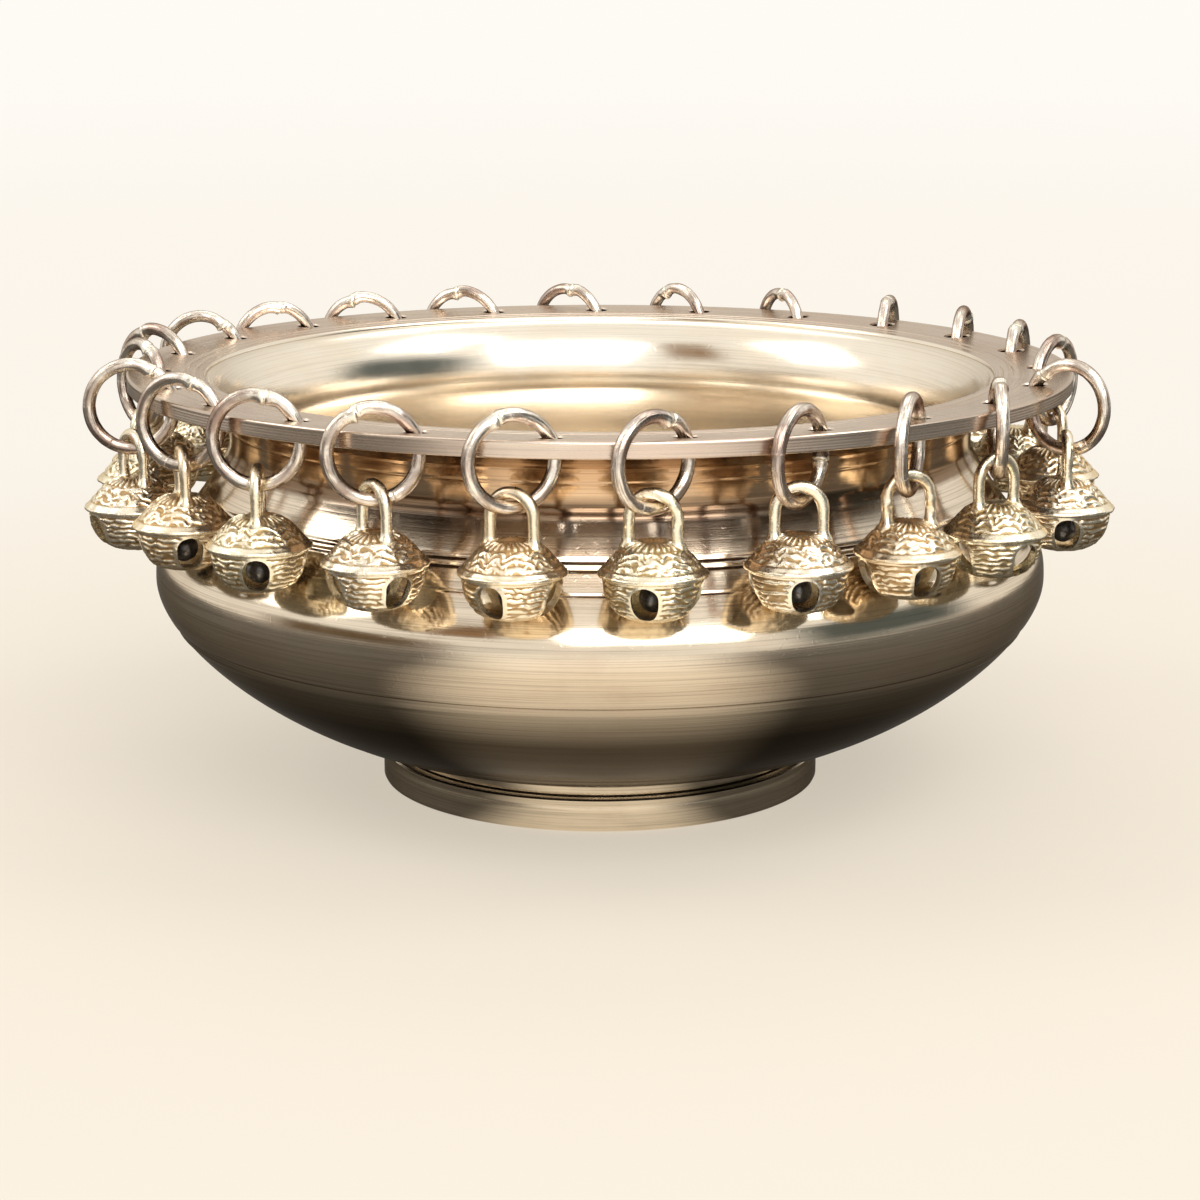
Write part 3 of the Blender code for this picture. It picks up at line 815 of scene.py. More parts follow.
    def hole_band(self, middles: list[float], angles: list[float],
                  top: bool) -> tuple[np.ndarray, Faces]:
        """One face of the flange round its holes, as rings of corners that grow out of each hole.

        Args:
            middles: The angle of the middle of each hole's stretch of the flange, in radians.
            angles: The angle of each hole, in radians.
            top: Whether it is the upper face.

        Returns:
            The corners and the faces.
        """
        n, m, around = self.segments_between_holes, self.side_stretches, self.hole_turns
        half = math.pi / len(middles)
        u = np.concatenate([np.linspace(-1, 1, n + 1)[:-1], np.ones(m),
                            np.linspace(1, -1, n + 1)[:-1], -np.ones(m)])
        v = np.concatenate([-np.ones(n), np.linspace(-1, 1, m + 1)[:-1],
                            np.ones(n), np.linspace(1, -1, m + 1)[:-1]])
        edge = np.stack([u * half * self.hole_circle, v * self.band_half], axis=1)
        rim = np.stack([np.cos(around), np.sin(around)], axis=1)
        wall, lip = rim * self.hole_radius, rim * (self.hole_radius + self.hole_chamfer)
        points, faces = [], []
        for middle, hole in zip(middles, angles):
            aside = np.array([(hole - middle) * self.hole_circle, 0.0])
            rings = [wall + aside, lip + aside]
            rings += [lip + aside + t * (edge - lip - aside) for t in (0.10, 0.28, 0.55)] + [edge]
            faces += grid_faces(len(rings), len(around), len(points) * len(around))
            for index, ring in enumerate(rings):
                sunk = self.hole_chamfer if index == 0 else 0.0
                radius = self.hole_circle + ring[:, 1]
                height = self.top_height(radius) - sunk if top else self.underside + sunk
                points.append(about_axis(radius, middle + ring[:, 0] / self.hole_circle, height))
        return np.concatenate(points), faces

    def hole_walls(self, angles: list[float]) -> tuple[np.ndarray, Faces]:
        """The walls of the drilled holes."""
        around = self.hole_turns
        points, faces = [], []
        for hole in angles:
            angle = hole + np.cos(around) * self.hole_radius / self.hole_circle
            radius = self.hole_circle + np.sin(around) * self.hole_radius
            faces += grid_faces(2, len(around), len(points) * len(around))
            for height in (self.top_height(radius) - self.hole_chamfer,
                           self.underside + self.hole_chamfer):
                points.append(about_axis(radius, angle, height))
        return np.concatenate(points), faces

    def build(self, middles: list[float], angles: list[float],
              finishes: dict[Side, bpy.types.Material]) -> None:
        """Builds the bowl.

        Args:
            middles: The even places round the flange that its holes are near, in radians.
            angles: Where the holes are, in radians.
            finishes: The material of each surface.
        """
        segments = len(middles) * self.segments_between_holes
        turn = Matrix.Rotation(middles[0] + math.pi / len(middles), 3, "Z")
        points, faces, slots = [], [], []

        def add(new_points: np.ndarray, new_faces: Faces, new_slots: list[int]) -> None:
            """Adds a stretch of surface."""
            first = sum(len(part) for part in points)
            points.append(new_points)
            faces.extend(tuple(corner + first for corner in face) for face in new_faces)
            slots.extend(new_slots)

        def add_turned(section: list[tuple[Point, Side]]) -> None:
            """Adds a turned stretch; each point's side is that of the gap before it."""
            made = turned_points([point for point, _ in section], segments)
            add(made @ np.array(turn).T, grid_faces(len(section), segments),
                [side.value for _, side in section[1:] for _ in range(segments)])

        inner = self.inner_section()
        add_turned([(point, Side.INSIDE) for point in inner])
        for rim in ([inner[-1]] + self.top_inner(), self.face()):
            add_turned([(point, Side.RIM) for point in rim])
        add_turned(self.below())
        for band, side in ((self.hole_band(middles, angles, True), Side.RIM),
                           (self.hole_band(middles, angles, False), Side.OUTSIDE),
                           (self.hole_walls(angles), Side.OUTSIDE)):
            add(*band, [side.value] * len(band[1]))
        mesh = mesh_from("turned_bowl", np.concatenate(points), faces, slots)
        mesh.set_sharp_from_angle(angle=math.radians(self.sharp_angle))
        for side in Side:
            mesh.materials.append(finishes[side])
        bowl = new_object("turned_bowl", mesh)
        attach(bowl, "bowl")
        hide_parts("bowl")
        LOG.info("bowl: %d faces", len(mesh.polygons))


# Rings, bells and pellets


@dataclass
class RimRings:
    """The wire rings that hang in the flange's holes."""

    bowl: TurnedBowl
    count: int = 23
    first_angle: float = -100.42
    shifts: dict[int, float] = field(default_factory=lambda: {
        6: 0.8, 7: 1.0, 8: 0.5, 9: 1.2, **dict.fromkeys(range(17, 24), -0.8)})
    wire: float = 0.0028
    outside: float = 0.0203
    drop: float = 0.0026
    lean: float = 58.0
    leans_measured: dict[int, float] = field(default_factory=lambda: {
        1: 22.0, 3: 22.0, 12: 22.0, 15: -45.0, 16: -30.0, 23: -22.0})
    first_back: int = 13
    around: int = 150
    about: int = 16
    solder_width: float = 0.17  # in radians round the ring, as is the cleft's width
    cleft_width: float = 0.022
    joints_seen: dict[int, float] = field(default_factory=lambda: {
        3: 122.0, 4: 112.0, 5: 102.0, 6: 66.0, 7: 67.0, 8: 115.0, 9: 192.0, 10: 148.0, 11: 80.0})

    @property
    def numbers(self) -> range:
        """The rings' numbers."""
        return range(1, self.count + 1)

    @property
    def radius(self) -> float:
        """Radius of the wire's centre line."""
        return (self.outside - self.wire) / 2.0

    @property
    def reach(self) -> float:
        """Distance from a hole's axis to the ring's centre, along the ring."""
        upper = self.drop + self.bowl.flange_thickness / 2.0
        lower = max(self.drop - self.bowl.flange_thickness / 2.0, 0.0)
        near = math.sqrt((self.radius - self.wire / 2.0) ** 2 - upper ** 2)
        far = math.sqrt((self.outside / 2.0) ** 2 - lower ** 2)
        return (near + far) / 2.0

    def even_angle(self, number: int) -> float:
        """Where a ring's hole would be if all were drilled evenly, from the front towards +X."""
        return self.first_angle + (number - 1) * FULL_TURN / self.count

    def angle(self, number: int) -> float:
        """A ring's angle round the rim, from the front towards +X."""
        return self.even_angle(number) + self.shifts.get(number, 0.0)

    def twist(self, number: int) -> float:
        """Angle between a ring and the straight line out: the back ones lean the other way."""
        lean = self.lean if number < self.first_back else -self.lean
        return self.leans_measured.get(number, lean)

    def stand(self, number: int) -> Matrix:
        """Where a ring's own axes stand: its hole's middle, and X out along the ring."""
        angle = math.radians(self.angle(number))
        middle = self.bowl.rim_height - self.bowl.flange_thickness / 2.0
        hole = Vector((self.bowl.hole_circle * math.sin(angle),
                       -self.bowl.hole_circle * math.cos(angle), middle))
        turn = math.radians(self.angle(number) - self.twist(number) - 90.0)
        return Matrix.Translation(hole) @ Matrix.Rotation(turn, 4, "Z")

    def mesh(self, number: int) -> bpy.types.Mesh:
        """One ring, bent from wire, with its ends soldered.

        Args:
            number: Which ring, which sets its joint and its unevenness.

        Returns:
            The ring's mesh, in the ring's own axes.
        """
        chance = np.random.default_rng(70 + number)
        joint = math.radians(self.joints_seen.get(number, chance.uniform(50.0, 130.0)))
        lift = chance.uniform(0.10, 0.22) * MILLIMETRE
        size = chance.uniform(0.12, 0.24)
        turn = np.arange(self.around) * (math.tau / self.around)
        away = (turn + math.pi) % math.tau - math.pi
        away = away * (1.0 - 0.55 * hump(away, 0.5))  # draws the corners in towards the joint
        blob, cleft = hump(away, self.solder_width), hump(away - 0.05, self.cleft_width)
        wire = self.wire / 2.0 * (0.965 + 0.02 * np.sin(3.0 * away + number) + size * blob
                                  - 0.22 * cleft)
        step = lift * np.tanh(away / 0.03) * hump(away, 0.45) - 0.75 * lift * blob
        bend = 0.10 * MILLIMETRE * np.sin(2.0 * (away + joint) + number)
        middle = self.radius + step + bend - size * blob * self.wire / 2.0
        sideways = lift * np.sin(away * 2.0) * hump(away, 0.5)
        section = np.arange(self.about) * (math.tau / self.about)
        cosine, sine = np.cos(section)[None, :], np.sin(section)[None, :]
        out = middle[:, None] + wire[:, None] * cosine
        side = sideways[:, None] + wire[:, None] * sine
        angle = (joint + away)[:, None]
        points = np.stack([out * np.cos(angle), side, out * np.sin(angle)], axis=2).reshape(-1, 3)
        normals = np.stack(np.broadcast_arrays(cosine * np.cos(angle), sine,
                                               cosine * np.sin(angle)), axis=2)
        weight = 0.020 + 0.10 * np.repeat(blob, self.about)
        rough = ripple(points, 2.2 * MILLIMETRE, 300 + number)
        points += normals.reshape(-1, 3) * (rough * weight * MILLIMETRE)[:, None]
        limit = self.outside / 2.0 - 0.02 * MILLIMETRE
        points[:, ::2] *= np.minimum(1.0, limit / np.hypot(points[:, 0], points[:, 2]))[:, None]
        points += np.array([self.reach, 0.0, -self.drop])
        total = len(points)
        faces = [tuple(corner % total for corner in face)
                 for face in grid_faces(self.around + 1, self.about)]
        mesh = mesh_from(f"ring_{number:02d}_wire", points, faces)
        hold_numbers(mesh, "joint", np.repeat(blob, self.about))
        along = (joint + away) * self.radius / MILLIMETRE
        hold_numbers(mesh, "along", np.repeat(along, self.about))
        hold_numbers(mesh, "about", np.tile(np.sin(section), self.around))
        return mesh

    def build(self, finish: bpy.types.Material) -> None:
        """Builds every ring.

        Args:
            finish: The wire's material.
        """
        for number in self.numbers:
            mesh = self.mesh(number)
            mesh.materials.append(finish)
            name = f"ring_{number:02d}"
            mesh.transform(self.stand(number))
            ring = new_object(f"wire_{name}", mesh)
            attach(ring, name)
            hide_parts(name)
        LOG.info("rings: %d", self.count)


@dataclass
class CastBells:
    """The cast bells: a patterned cone over a slotted bowl, with a wire loop on top.

    The pattern's sizes, from petals to base_height, are in millimetres. A pair of them is the
    stretch over which a zone of the pattern fades in or out.
    """

    rings: RimRings
    petals: int = 26
    scallops: float = 11.0
    scallop_spacing: float = 1.15
    ridge_spacing: float = 1.12
    ridges_start: float = 1.05
    crown_end: Point = (2.0, 2.6)
    petals_start: Point = (2.4, 3.0)
    petals_end: Point = (5.3, 5.9)
    curls_start: Point = (5.6, 6.1)
    curls_end: Point = (9.0, 9.4)
    hem_start: Point = (9.1, 9.5)
    band_half: float = 0.62
    base_height: float = -7.5
    radius: float = 0.01048
    depth: float = 0.0092
    wall: float = 0.0013
    turn: float = 127.0
    turns_measured: dict[int, float] = field(default_factory=lambda: {5: 98.0, 6: 113.0})
    loop_wire: float = 0.0025
    loop_spacing: float = 0.0092
    loop_height: float = 0.0150
    loop_root: float = 0.0038
    loop_flare: float = 0.0048
    loop_waist: float = 0.0085
    loop_sides: int = 14
    hang_gap: float = 0.0003
    slot_top: float = 0.0010
    slot_bottom: float = 0.0077
    slot_half: float = 0.0026
    cutter_reach: float = 0.013
    segments: int = 160
    sharp_angle: float = 48.0
    moulds: int = 6
    lumpy_moulds: tuple[int, ...] = (1, 4)
    mould_of: dict[int, int] = field(default_factory=lambda: {
        4: 0, 5: 2, 6: 3, 7: 5, 8: 1, 9: 0, 10: 4, 11: 2})

    @property
    def drop(self) -> float:
        """How far a bell's rim hangs below the wire that carries it."""
        wires = self.rings.wire / 2.0 + self.loop_wire / 2.0
        return self.loop_height - wires - self.hang_gap

    def outer_section(self) -> list[Point]:
        """The bell's outer side from its top to its bottom, in metres."""
        rim = self.radius / MILLIMETRE
        low = -self.depth / MILLIMETRE
        crown = ((2.8, 6.5), (4.7, 6.0), (6.0, 4.95), 14)
        cone = ((7.3, 3.8), (8.8, 1.9), (rim - 0.40, 0.62), 28)
        band = ((rim - 0.02, 0.40), (rim, 0.15), (rim, -0.05), 7)
        lip = ((rim, -0.42), (rim - 0.5, -0.46), (rim - 0.9, -0.62), 6)
        side = ((rim - 0.9, -3.4), (9.0, -5.6), (6.7, -7.6), 36)
        base = ((5.2, -8.8), (2.4, low), (0.02, low), 14)
        return [(radius * MILLIMETRE, height * MILLIMETRE)
                for radius, height in chain((0.02, 6.45), crown, cone, band, lip, side, base)]

    def slot_width(self, height: np.ndarray) -> np.ndarray:
        """Half the width of a sound slot at a height: round on top, narrowing down to a tip."""
        share = np.clip((-height - self.slot_top) / (self.slot_bottom - self.slot_top), 0.0, 1.0)
        top = np.sqrt(np.clip(1.0 - (1.0 - np.clip(share / 0.34, 0.0, 1.0)) ** 2, 0.0, 1.0))
        tip = np.sqrt(np.clip(1.0 - np.clip((share - 0.34) / 0.66, 0.0, 1.0) ** 2.3, 0.0, 1.0))
        return self.slot_half * top * (0.10 + 0.90 * tip) * (share > 0.0) * (share < 1.0)

    def relief(self, points: np.ndarray, seed: int) -> np.ndarray:
        """Heights of the cast pattern, 0 in its hollows to 1 on its ridges.

        Args:
            points: Points of the outer side, one a row.
            seed: Which mould.

        Returns:
            One height for each point.
        """
        scaled = points / MILLIMETRE
        angle = np.arctan2(scaled[:, 1], scaled[:, 0])
        radius = np.hypot(scaled[:, 0], scaled[:, 1])
        height = scaled[:, 2]
        wander = ripple(points, 6.0 * MILLIMETRE, seed)
        stray = ripple(points, 2.4 * MILLIMETRE, seed + 1)
        petals = 0.5 + 0.5 * np.cos(self.petals * angle + 0.9 * wander + 0.30 * (radius - 3.5))
        petals = smooth_step(petals, 0.20, 0.80)
        petals *= smooth_step(radius + 0.25 * stray, *self.petals_start)
        petals *= 1.0 - smooth_step(radius + 0.35 * stray, *self.petals_end)
        scroll = hump(ripple(points, 3.1 * MILLIMETRE, seed + 3), 0.26)
        curls = np.maximum(0.85 * scroll, self._scallops(angle, radius, stray, wander))
        zone = smooth_step(radius, *self.curls_start)
        curls *= zone * (1.0 - smooth_step(radius, *self.curls_end))
        crown = 0.6 * (1.0 - smooth_step(radius, *self.crown_end))
        hem = smooth_step(radius, *self.hem_start)
        cone = np.maximum.reduce([petals, curls, crown, hem])
        panel = self._beside_slots(scaled)
        bowl = self._ridges(angle, height, stray, wander) * panel + 0.9 * (1.0 - panel)
        bowl = np.where(height < self.base_height, 0.62 + 0.15 * stray, bowl)
        made = np.where(height > 0.0, cone, np.where(height > -self.band_half, 0.8, bowl))
        return np.clip(made, 0.0, 1.0)

    def _scallops(self, angle: np.ndarray, radius: np.ndarray, stray: np.ndarray,
                  wander: np.ndarray) -> np.ndarray:
        """Nested arcs round the lower half of the cone, as drawn with a finger in the mould."""
        place = angle * (self.scallops / math.tau) + 0.22 * wander
        beside = place - np.floor(place) - 0.5
        arc = (radius - self.curls_start[0]) / self.scallop_spacing
        level = arc - 3.2 * beside ** 2 + 0.16 * stray
        across = np.abs(level - np.floor(level) - 0.5) * 2.0
        return 1.0 - smooth_step(across, 0.25, 0.75)

    def _ridges(self, angle: np.ndarray, height: np.ndarray, stray: np.ndarray,
                wander: np.ndarray) -> np.ndarray:
        """Wavy level ridges, as cast on the panels between the slots."""
        sway = 0.14 * np.sin(11.0 * angle + 2.0 * wander) + 0.15 * stray
        level = (-height - self.ridges_start + sway) / self.ridge_spacing
        row = np.floor(level)
        across = np.abs(level - row - 0.5) * 2.0
        broken = smooth_step(np.sin(7.0 * angle + 2.3 * row + 1.4 * wander), -0.98, -0.72)
        return (1.0 - smooth_step(across, 0.30, 0.85)) * (0.25 + 0.75 * broken) * (level > 0.0)

    def _beside_slots(self, scaled: np.ndarray) -> np.ndarray:
        """0 on the plain border round each slot, rising to 1 on the patterned panels."""
        width = self.slot_width(scaled[:, 2] * MILLIMETRE) / MILLIMETRE
        aside = np.minimum(np.abs(scaled[:, 0]), np.abs(scaled[:, 1]))
        away = aside - np.maximum(width, 1.2)
        return smooth_step(away, 0.60, 0.95) * smooth_step(-scaled[:, 2], 0.75, 1.15)

    def skin(self, section: list[Point], seed: int) -> tuple[np.ndarray, np.ndarray]:
        """The outer side with its pattern raised.

        Args:
            section: The outer side's plain section.
            seed: Which mould.

        Returns:
            The corners, and the pattern's height at each.
        """
        points = turned_points(section, self.segments)
        normal = np.repeat(-right_of(np.array(section)), self.segments, axis=0)
        turn = np.arctan2(points[:, 1], points[:, 0])
        outward = np.stack([normal[:, 0] * np.cos(turn), normal[:, 0] * np.sin(turn), normal[:, 1]],
                           axis=1)
        relief = self.relief(points, seed)
        height = points[:, 2] / MILLIMETRE
        strength = np.where(height > self.band_half, 0.28,
                            np.where(height > -self.band_half, 0.04, 0.32))
        lumps = 0.06 * ripple(points, 3.0 * MILLIMETRE, seed + 5)
        lumps += 0.025 * ripple(points, 0.9 * MILLIMETRE, seed + 6, 24)
        raised = (relief - 1.0) * strength + lumps - 0.08
        return points + outward * (raised * MILLIMETRE)[:, None], relief

    def loop(self, seed: int, cast: Cast) -> bpy.types.Mesh:
        """The wire loop: two legs with flared roots and a round top.

        Args:
            seed: Which mould.
            cast: How rough it is.

        Returns:
            The loop's mesh, above the bell's rim.
        """
        half, sides = self.loop_spacing / 2.0, self.loop_sides
        spring = self.loop_height - half
        legs = np.linspace(self.loop_root, spring, 12)
        path = [(-half, height) for height in legs[:-1]]
        path += [(half * math.cos(angle), spring + half * math.sin(angle))
                 for angle in np.linspace(math.pi, 0.0, 25)]
        path += [(half, height) for height in legs[::-1][1:]]
        line = np.array(path)
        flare = 0.55 * hump(line[:, 1] - self.loop_flare, 0.0009)
        waist = 1.0 - 0.10 * hump(line[:, 1] - self.loop_waist, 0.0022)
        wire = self.loop_wire / 2.0 * (0.97 * waist + flare)
        section = np.arange(sides) * (math.tau / sides)
        out = -right_of(line)[:, None, :] * (wire[:, None] * np.cos(section)[None, :])[:, :, None]
        points = np.stack([line[:, None, 0] + out[:, :, 0],
                           wire[:, None] * np.sin(section)[None, :],
                           line[:, None, 1] + out[:, :, 1]], axis=2).reshape(-1, 3)
        centre = np.stack([line[:, 0], np.zeros(len(line)), line[:, 1]], axis=1)
        away = points - np.repeat(centre, sides, axis=0)
        away /= np.linalg.norm(away, axis=1, keepdims=True)
        rough = ripple(points, 1.6 * MILLIMETRE, seed + 9) * 0.5
        rough += ripple(points, 3.5 * MILLIMETRE, seed + 11) * 0.5
        clear = 1.0 - smooth_step(points[:, 2], 0.0122, 0.0140)
        swell = rough * cast.value * (0.14 + 0.10 * clear) - 0.05 * cast.value
        points += away * (swell * MILLIMETRE)[:, None]
        return mesh_from("bell_loop", points, capped_faces(len(line), sides))

    def slot_cutter(self, quarter: bool) -> bpy.types.Mesh:
        """A bar in the shape of a slot that cuts two slots, one on each side of the bell."""
        heights = -np.linspace(self.slot_top, self.slot_bottom, 26)
        heights[[0, -1]] += (-0.00002, 0.00002)
        width = np.maximum(self.slot_width(heights), 0.0001)
        outline = [*zip(width, heights), *zip(-width[::-1], heights[::-1])]
        points = [(end, y, z) for end in (-self.cutter_reach, self.cutter_reach)
                  for y, z in outline]
        if quarter:
            points = [(y, x, z) for x, y, z in points]
        return mesh_from("slot_cutter", np.array(points), capped_faces(2, len(outline)))

    def mould(self, number: int) -> bpy.types.Mesh:
        """One bell from one mould: shell, slots and loop in one closed surface.

        Args:
            number: Which mould.

        Returns:
            The bell's mesh, with the ring's wire at its origin.
        """
        seed = 500 + 20 * number
        section = self.outer_section()
        outer, relief = self.skin(section, seed)
        flat = np.array(section)[::3]
        hollow = flat + right_of(flat) * self.wall
        hollow[:, 0] = np.maximum(hollow[:, 0], 0.00002)
        columns = self.segments // 4
        inside = turned_points(hollow, columns)
        faces = capped_faces(len(section), self.segments, 0, -1)
        faces += capped_faces(len(hollow), columns, len(outer), -1)
        body = new_object("bell_shell",
                          mesh_from("bell_shell", np.concatenate([outer, inside]), faces))
        cast = Cast.LUMPY if number in self.lumpy_moulds else Cast.CLEAN
        tools = []
        for tool, operation in ((self.slot_cutter(False), "DIFFERENCE"),
                                (self.slot_cutter(True), "DIFFERENCE"),
                                (self.loop(seed, cast), "UNION")):
            tools.append(new_object("bell_tool", tool))
            change = body.modifiers.new(operation, "BOOLEAN")
            change.operation = operation
            change.solver = "EXACT"
            change.object = tools[-1]
        bpy.context.view_layer.update()
        graph = bpy.context.evaluated_depsgraph_get()
        mesh = bpy.data.meshes.new_from_object(body.evaluated_get(graph))
        mesh.name = f"bell_mould_{number}"
        for obj in (body, *tools):
            bpy.data.objects.remove(obj)
        self._mark(mesh, outer, relief, inside)
        mesh.transform(Matrix.Translation((0.0, 0.0, -self.drop)))
        mesh.shade_smooth()
        mesh.set_sharp_from_angle(angle=math.radians(self.sharp_angle))
        LOG.info("bell mould %d: %d faces", number, len(mesh.polygons))
        return mesh

    @staticmethod
    def _mark(mesh: bpy.types.Mesh, outer: np.ndarray, relief: np.ndarray,
              inside: np.ndarray) -> None:
        """Gives each corner its relief, and each face of the hollow the dark finish."""
        tree = KDTree(len(outer) + len(inside))
        for i, point in enumerate(np.concatenate([outer, inside])):
            tree.insert(point, i)
        tree.balance()
        values, hidden = [], []
        for vertex in mesh.vertices:
            _, index, distance = tree.find(vertex.co)
            hidden.append(index >= len(outer) and distance < 0.0006)
            on_skin = index < len(outer) and distance < 0.0009
            values.append(float(relief[index]) if on_skin else 0.72)
        hold_numbers(mesh, "relief", np.array(values))
        for face in mesh.polygons:
            face.material_index = int(all(hidden[corner] for corner in face.vertices))

    def stand(self, number: int) -> Matrix:
        """Where a bell's own axes stand: the lowest wire of its ring."""
        hang = Vector((self.rings.reach, 0.0, -self.rings.drop - self.rings.radius))
        turn = math.radians(self.turns_measured.get(number, self.turn))
        turn = math.copysign(turn, self.rings.twist(number))
        return self.rings.stand(number) @ Matrix.Translation(hang) @ Matrix.Rotation(turn, 4, "Z")

    def build(self, finishes: Sequence[bpy.types.Material], dark: bpy.types.Material) -> None:
        """Builds every bell.

        Args:
            finishes: The brass tones that the bells share out.
            dark: The material of a bell's inside.
        """
        moulds = [self.mould(number) for number in range(self.moulds)]
        for number in self.rings.numbers:
            mould = self.mould_of.get(number, (number * 5) % self.moulds)
            mesh = moulds[mould].copy()
            mesh.transform(self.stand(number))
            mesh.materials.clear()
            mesh.materials.append(finishes[(number * 7) % len(finishes)])
            mesh.materials.append(dark)
            bell = new_object(f"cast_bell_{number:02d}", mesh)
            name = f"bell_{number:02d}"
            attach(bell, name)
            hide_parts(name)
        LOG.info("bells: %d", self.rings.count)


@dataclass
class Pellets:
    """The loose iron pellets in the bells."""

    bells: CastBells
    radius: float = 0.0028
    nodes: int = 13
    rest_gap: float = 0.0004

    def mesh(self, number: int) -> bpy.types.Mesh:
        """One rough pellet, where it rests in the bell's own axes."""
        mesh = bpy.data.meshes.new(f"pellet_{number:02d}_iron")
        shape = bmesh.new()
        bmesh.ops.create_icosphere(shape, subdivisions=4, radius=self.radius)
        shape.to_mesh(mesh)
        shape.free()
        points = np.zeros(len(mesh.vertices) * 3)
        mesh.vertices.foreach_get("co", points)
        points = points.reshape(-1, 3)
        dents = ripple(points, 3.2 * MILLIMETRE, 900 + number)
        pits = ripple(points, 1.0 * MILLIMETRE, 950 + number)
        points *= (0.955 + 0.030 * dents + 0.010 * pits)[:, None]
        points[:, 2] += -self.bells.depth + self.bells.wall + self.radius + self.rest_gap
        mesh.vertices.foreach_set("co", points.ravel())
        mesh.shade_smooth()
        return mesh

    def build(self, finish: bpy.types.Material) -> None:
        """Builds a pellet in every bell; those past the nodes ride on their bell.

        Args:
            finish: The iron's material.
        """
        drop = Matrix.Translation((0.0, 0.0, -self.bells.drop))
        for number in self.bells.rings.numbers:
            mesh = self.mesh(number)
            mesh.materials.append(finish)
            mesh.transform(self.bells.stand(number) @ drop)
            pellet = new_object(f"iron_pellet_{number:02d}", mesh)
            if number <= self.nodes:
                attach(pellet, f"pellet_{number:02d}")
                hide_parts(f"pellet_{number:02d}")
            else:
                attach(pellet, f"bell_{number:02d}")
        LOG.info("pellets: %d", self.bells.rings.count)


# The studio


@dataclass(frozen=True)
class Softbox:
    """A rectangular studio lamp, aimed at the bowl."""

    name: str
    azimuth: float
    elevation: float
    distance: float
    width: float
    height: float
    power: float
    tint: Color

    def build(self, target: Vector) -> None:
        """Hangs the lamp round the target, out of the camera's sight.

        Args:
            target: The point that it is aimed at.
        """
        lamp = bpy.data.lights.new(self.name, "AREA")
        lamp.shape = "RECTANGLE"
        lamp.size, lamp.size_y = self.width, self.height
        lamp.energy, lamp.color = self.power, self.tint
        turn, rise = math.radians(self.azimuth), math.radians(self.elevation)
        way = Vector((math.sin(turn) * math.cos(rise), -math.cos(turn) * math.cos(rise),
                      math.sin(rise)))
        made = new_object(self.name, lamp)
        made.location = target + way * self.distance
        made.rotation_euler = (-way).to_track_quat("-Z", "Y").to_euler()
        made.visible_camera = False


@dataclass(frozen=True)
class ReflectionCard:
    """An upright card beside the set, which only the brass sees: a painted dark reflection."""

    name: str
    azimuth: float
    distance: float
    width: float
    low: float
    high: float
    color: Color

    def build(self) -> None:
        """Stands the card round the bowl."""
        middle, rise = (self.low + self.high) / 2.0, (self.high - self.low) / 2.0
        half, turn = self.width / 2.0, math.radians(self.azimuth)
        corners = [(x * math.cos(turn) + self.distance * math.sin(turn),
                    x * math.sin(turn) - self.distance * math.cos(turn), middle + z)
                   for x, z in ((-half, -rise), (half, -rise), (half, rise), (-half, rise))]
        mesh = mesh_from(self.name, np.array(corners), [(0, 1, 2, 3)])
        mesh.materials.append(ReflectionCardColor(self.name, self.color).make())
        card = new_object(self.name, mesh)
        card.visible_camera = False
        card.visible_diffuse = False
        card.visible_shadow = False
        card.visible_transmission = False


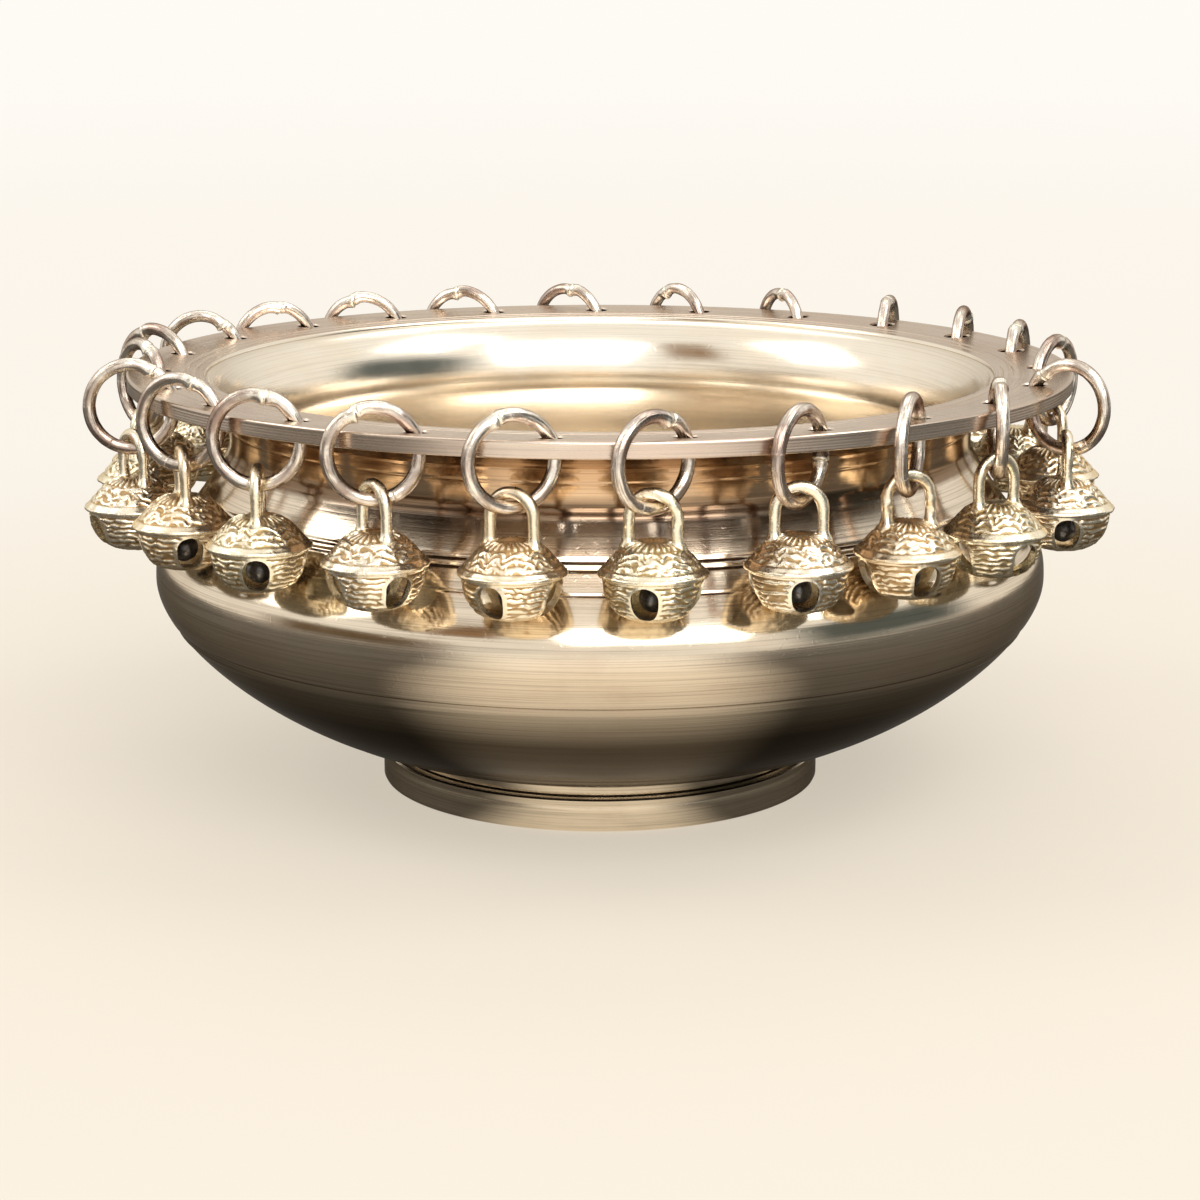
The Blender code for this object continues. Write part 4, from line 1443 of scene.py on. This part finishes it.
@dataclass
class Studio:
    """Pale floor and sky, soft lamps, and the camera of the photograph."""

    floor_rings: tuple[float, ...] = (0.0001, 0.2, 0.6, 1.6, 5.0, 16.0)
    floor_gap: float = 0.0002
    sky_seen: Color = (0.956, 0.930, 0.871)
    sky_light: Color = (0.60, 0.615, 0.65)
    aim: tuple[float, float, float] = (0.0, 0.0, 0.05)
    camera_place: tuple[float, float, float] = (0.0, -0.6147, 0.1801)
    camera_pitch: float = 12.98
    lens: float = 85.5
    lamps: tuple[Softbox, ...] = (
        Softbox("key_softbox", 14.0, 38.0, 1.5, 1.15, 1.00, 14.0, (1.0, 0.985, 0.96)),
        Softbox("right_softbox", 82.0, 55.0, 1.5, 0.6, 0.6, 3.4, (1.0, 0.98, 0.95)),
        Softbox("left_softbox", -89.0, 41.0, 1.6, 0.7, 0.8, 5.0, (1.0, 0.95, 0.88)),
        Softbox("back_softbox", 178.0, 60.0, 1.6, 1.2, 0.5, 3.2, (1.0, 0.97, 0.92)),
    )
    # Dark cards that only reflections see: painted dark reflections in the brass.
    flags: tuple[ReflectionCard, ...] = (
        ReflectionCard("left_flag", -36.0, 1.2, 0.60, 0.60, 1.8, (0.28, 0.17, 0.09)),
        ReflectionCard("low_left_flag", -62.0, 1.1, 1.40, 0.00, 0.34, (0.13, 0.085, 0.045)),
        ReflectionCard("right_flag", 74.0, 1.1, 1.50, 0.00, 0.90, (0.10, 0.115, 0.11)),
    )

    def build_floor(self, paper: bpy.types.Material, segments: int = 96) -> None:
        """Builds the floor.

        Args:
            paper: The floor's material.
            segments: How many stretches it has round its middle.
        """
        section = [(radius, 0.0) for radius in self.floor_rings]
        faces = grid_faces(len(section), segments)
        mesh = mesh_from("studio_floor", turned_points(section, segments), faces)
        mesh.materials.append(paper)
        floor = new_object("studio_floor", mesh)
        floor.location.z = -self.floor_gap

    def build_lights(self) -> None:
        """Hangs the lamps, stands the cards and sets the sky above them."""
        for lamp in self.lamps:
            lamp.build(Vector(self.aim))
        for flag in self.flags:
            flag.build()
        world = bpy.data.worlds.new("studio_sky")
        bpy.context.scene.world = world
        world.use_nodes = True
        sheet = NodeSheet(world.node_tree)
        color = sheet.mix(sheet.seen_directly(), self.sky_light, self.sky_seen)
        sheet.tree.links.new(color.socket, sheet.tree.nodes["Background"].inputs["Color"])

    def build_camera(self) -> None:
        """Places the camera as the photograph was taken."""
        lens = bpy.data.cameras.new("photo_camera")
        lens.lens = self.lens
        lens.sensor_width = 36.0
        lens.clip_start = 0.01
        camera = new_object("photo_camera", lens)
        camera.location = self.camera_place
        camera.rotation_euler = (math.radians(90.0 - self.camera_pitch), 0.0, 0.0)
        bpy.context.scene.camera = camera
        bpy.context.scene.view_settings.view_transform = "Standard"


# Painted shade and painted reflections on the outside, with some tarnish, by height from the floor
# (0)
# to the rim (1): the near-black lower body is a painted reflection of a dark floor, and the dark
# band in the crease and the dark neck under the flange are painted shade
TARNISH_AND_PAINTED_SHADE: tuple[tuple[float, Color], ...] = (
    (0.0, (0.05, 0.045, 0.04)), (0.12, (0.025, 0.022, 0.02)), (0.31, (0.06, 0.056, 0.052)),
    (0.395, (0.36, 0.35, 0.33)), (0.425, (0.64, 0.62, 0.60)), (0.50, (0.76, 0.74, 0.71)),
    (0.56, (0.94, 0.93, 0.91)), (0.64, (0.99, 0.99, 0.99)), (0.785, (0.98, 0.97, 0.97)),
    (0.797, (0.34, 0.27, 0.23)), (0.820, (0.24, 0.17, 0.12)), (0.845, (0.82, 0.66, 0.52)),
    (0.905, (0.74, 0.55, 0.41)), (0.935, (0.36, 0.25, 0.18)), (0.963, (0.13, 0.10, 0.08)))

BOWL_FINISHES: dict[Side, Finish] = {
    Side.OUTSIDE: TurnedBrass("turned_brass_outside", (0.90, 0.79, 0.64), (0.70, 0.54, 0.41),
                              0.13, tarnish_and_painted_shade=TARNISH_AND_PAINTED_SHADE, line_shade=0.30),
    Side.INSIDE: TurnedBrass("turned_brass_inside", (0.96, 0.88, 0.76), (0.88, 0.74, 0.57),
                             0.17, line_shade=0.12, anisotropy=0.4),
    Side.RIM: TurnedBrass("turned_brass_rim", (0.80, 0.68, 0.57), (0.60, 0.45, 0.37), 0.24,
                          line_shade=0.22),
    Side.FOOT: TurnedBrass("turned_brass_foot", (0.72, 0.62, 0.48), (0.44, 0.35, 0.26), 0.15),
}
BELL_TONES = (CastBrass("cast_brass_bright"),
              CastBrass("cast_brass_warm", (0.99, 0.86, 0.65), (0.50, 0.33, 0.16), 0.29),
              CastBrass("cast_brass_pale", (0.98, 0.89, 0.69), (0.45, 0.33, 0.17), 0.28))
BELL_INSIDE = DarkCasting("bell_inside", (0.035, 0.026, 0.018), (0.10, 0.07, 0.04), 0.62, 0.6)
PELLET_IRON = DarkCasting("pellet_iron", (0.17, 0.165, 0.165), (0.075, 0.06, 0.05), 0.38, 0.9,
                           spot_scale=900.0)


def main() -> None:
    """Builds the bowl, its rings, bells and pellets, and the studio."""
    logging.basicConfig(level=logging.INFO)
    bowl = TurnedBowl()
    rings = RimRings(bowl)
    bells = CastBells(rings)
    bowl.build([math.radians(rings.even_angle(number)) for number in rings.numbers],
               [math.radians(rings.angle(number)) for number in rings.numbers],
               {side: finish.make() for side, finish in BOWL_FINISHES.items()})
    rings.build(WireBrass("wire_brass").make())
    bells.build([tone.make() for tone in BELL_TONES], BELL_INSIDE.make())
    Pellets(bells).build(PELLET_IRON.make())
    studio = Studio()
    studio.build_floor(StudioPaper("studio_paper").make())
    studio.build_lights()
    studio.build_camera()


if __name__ == "__main__":
    main()
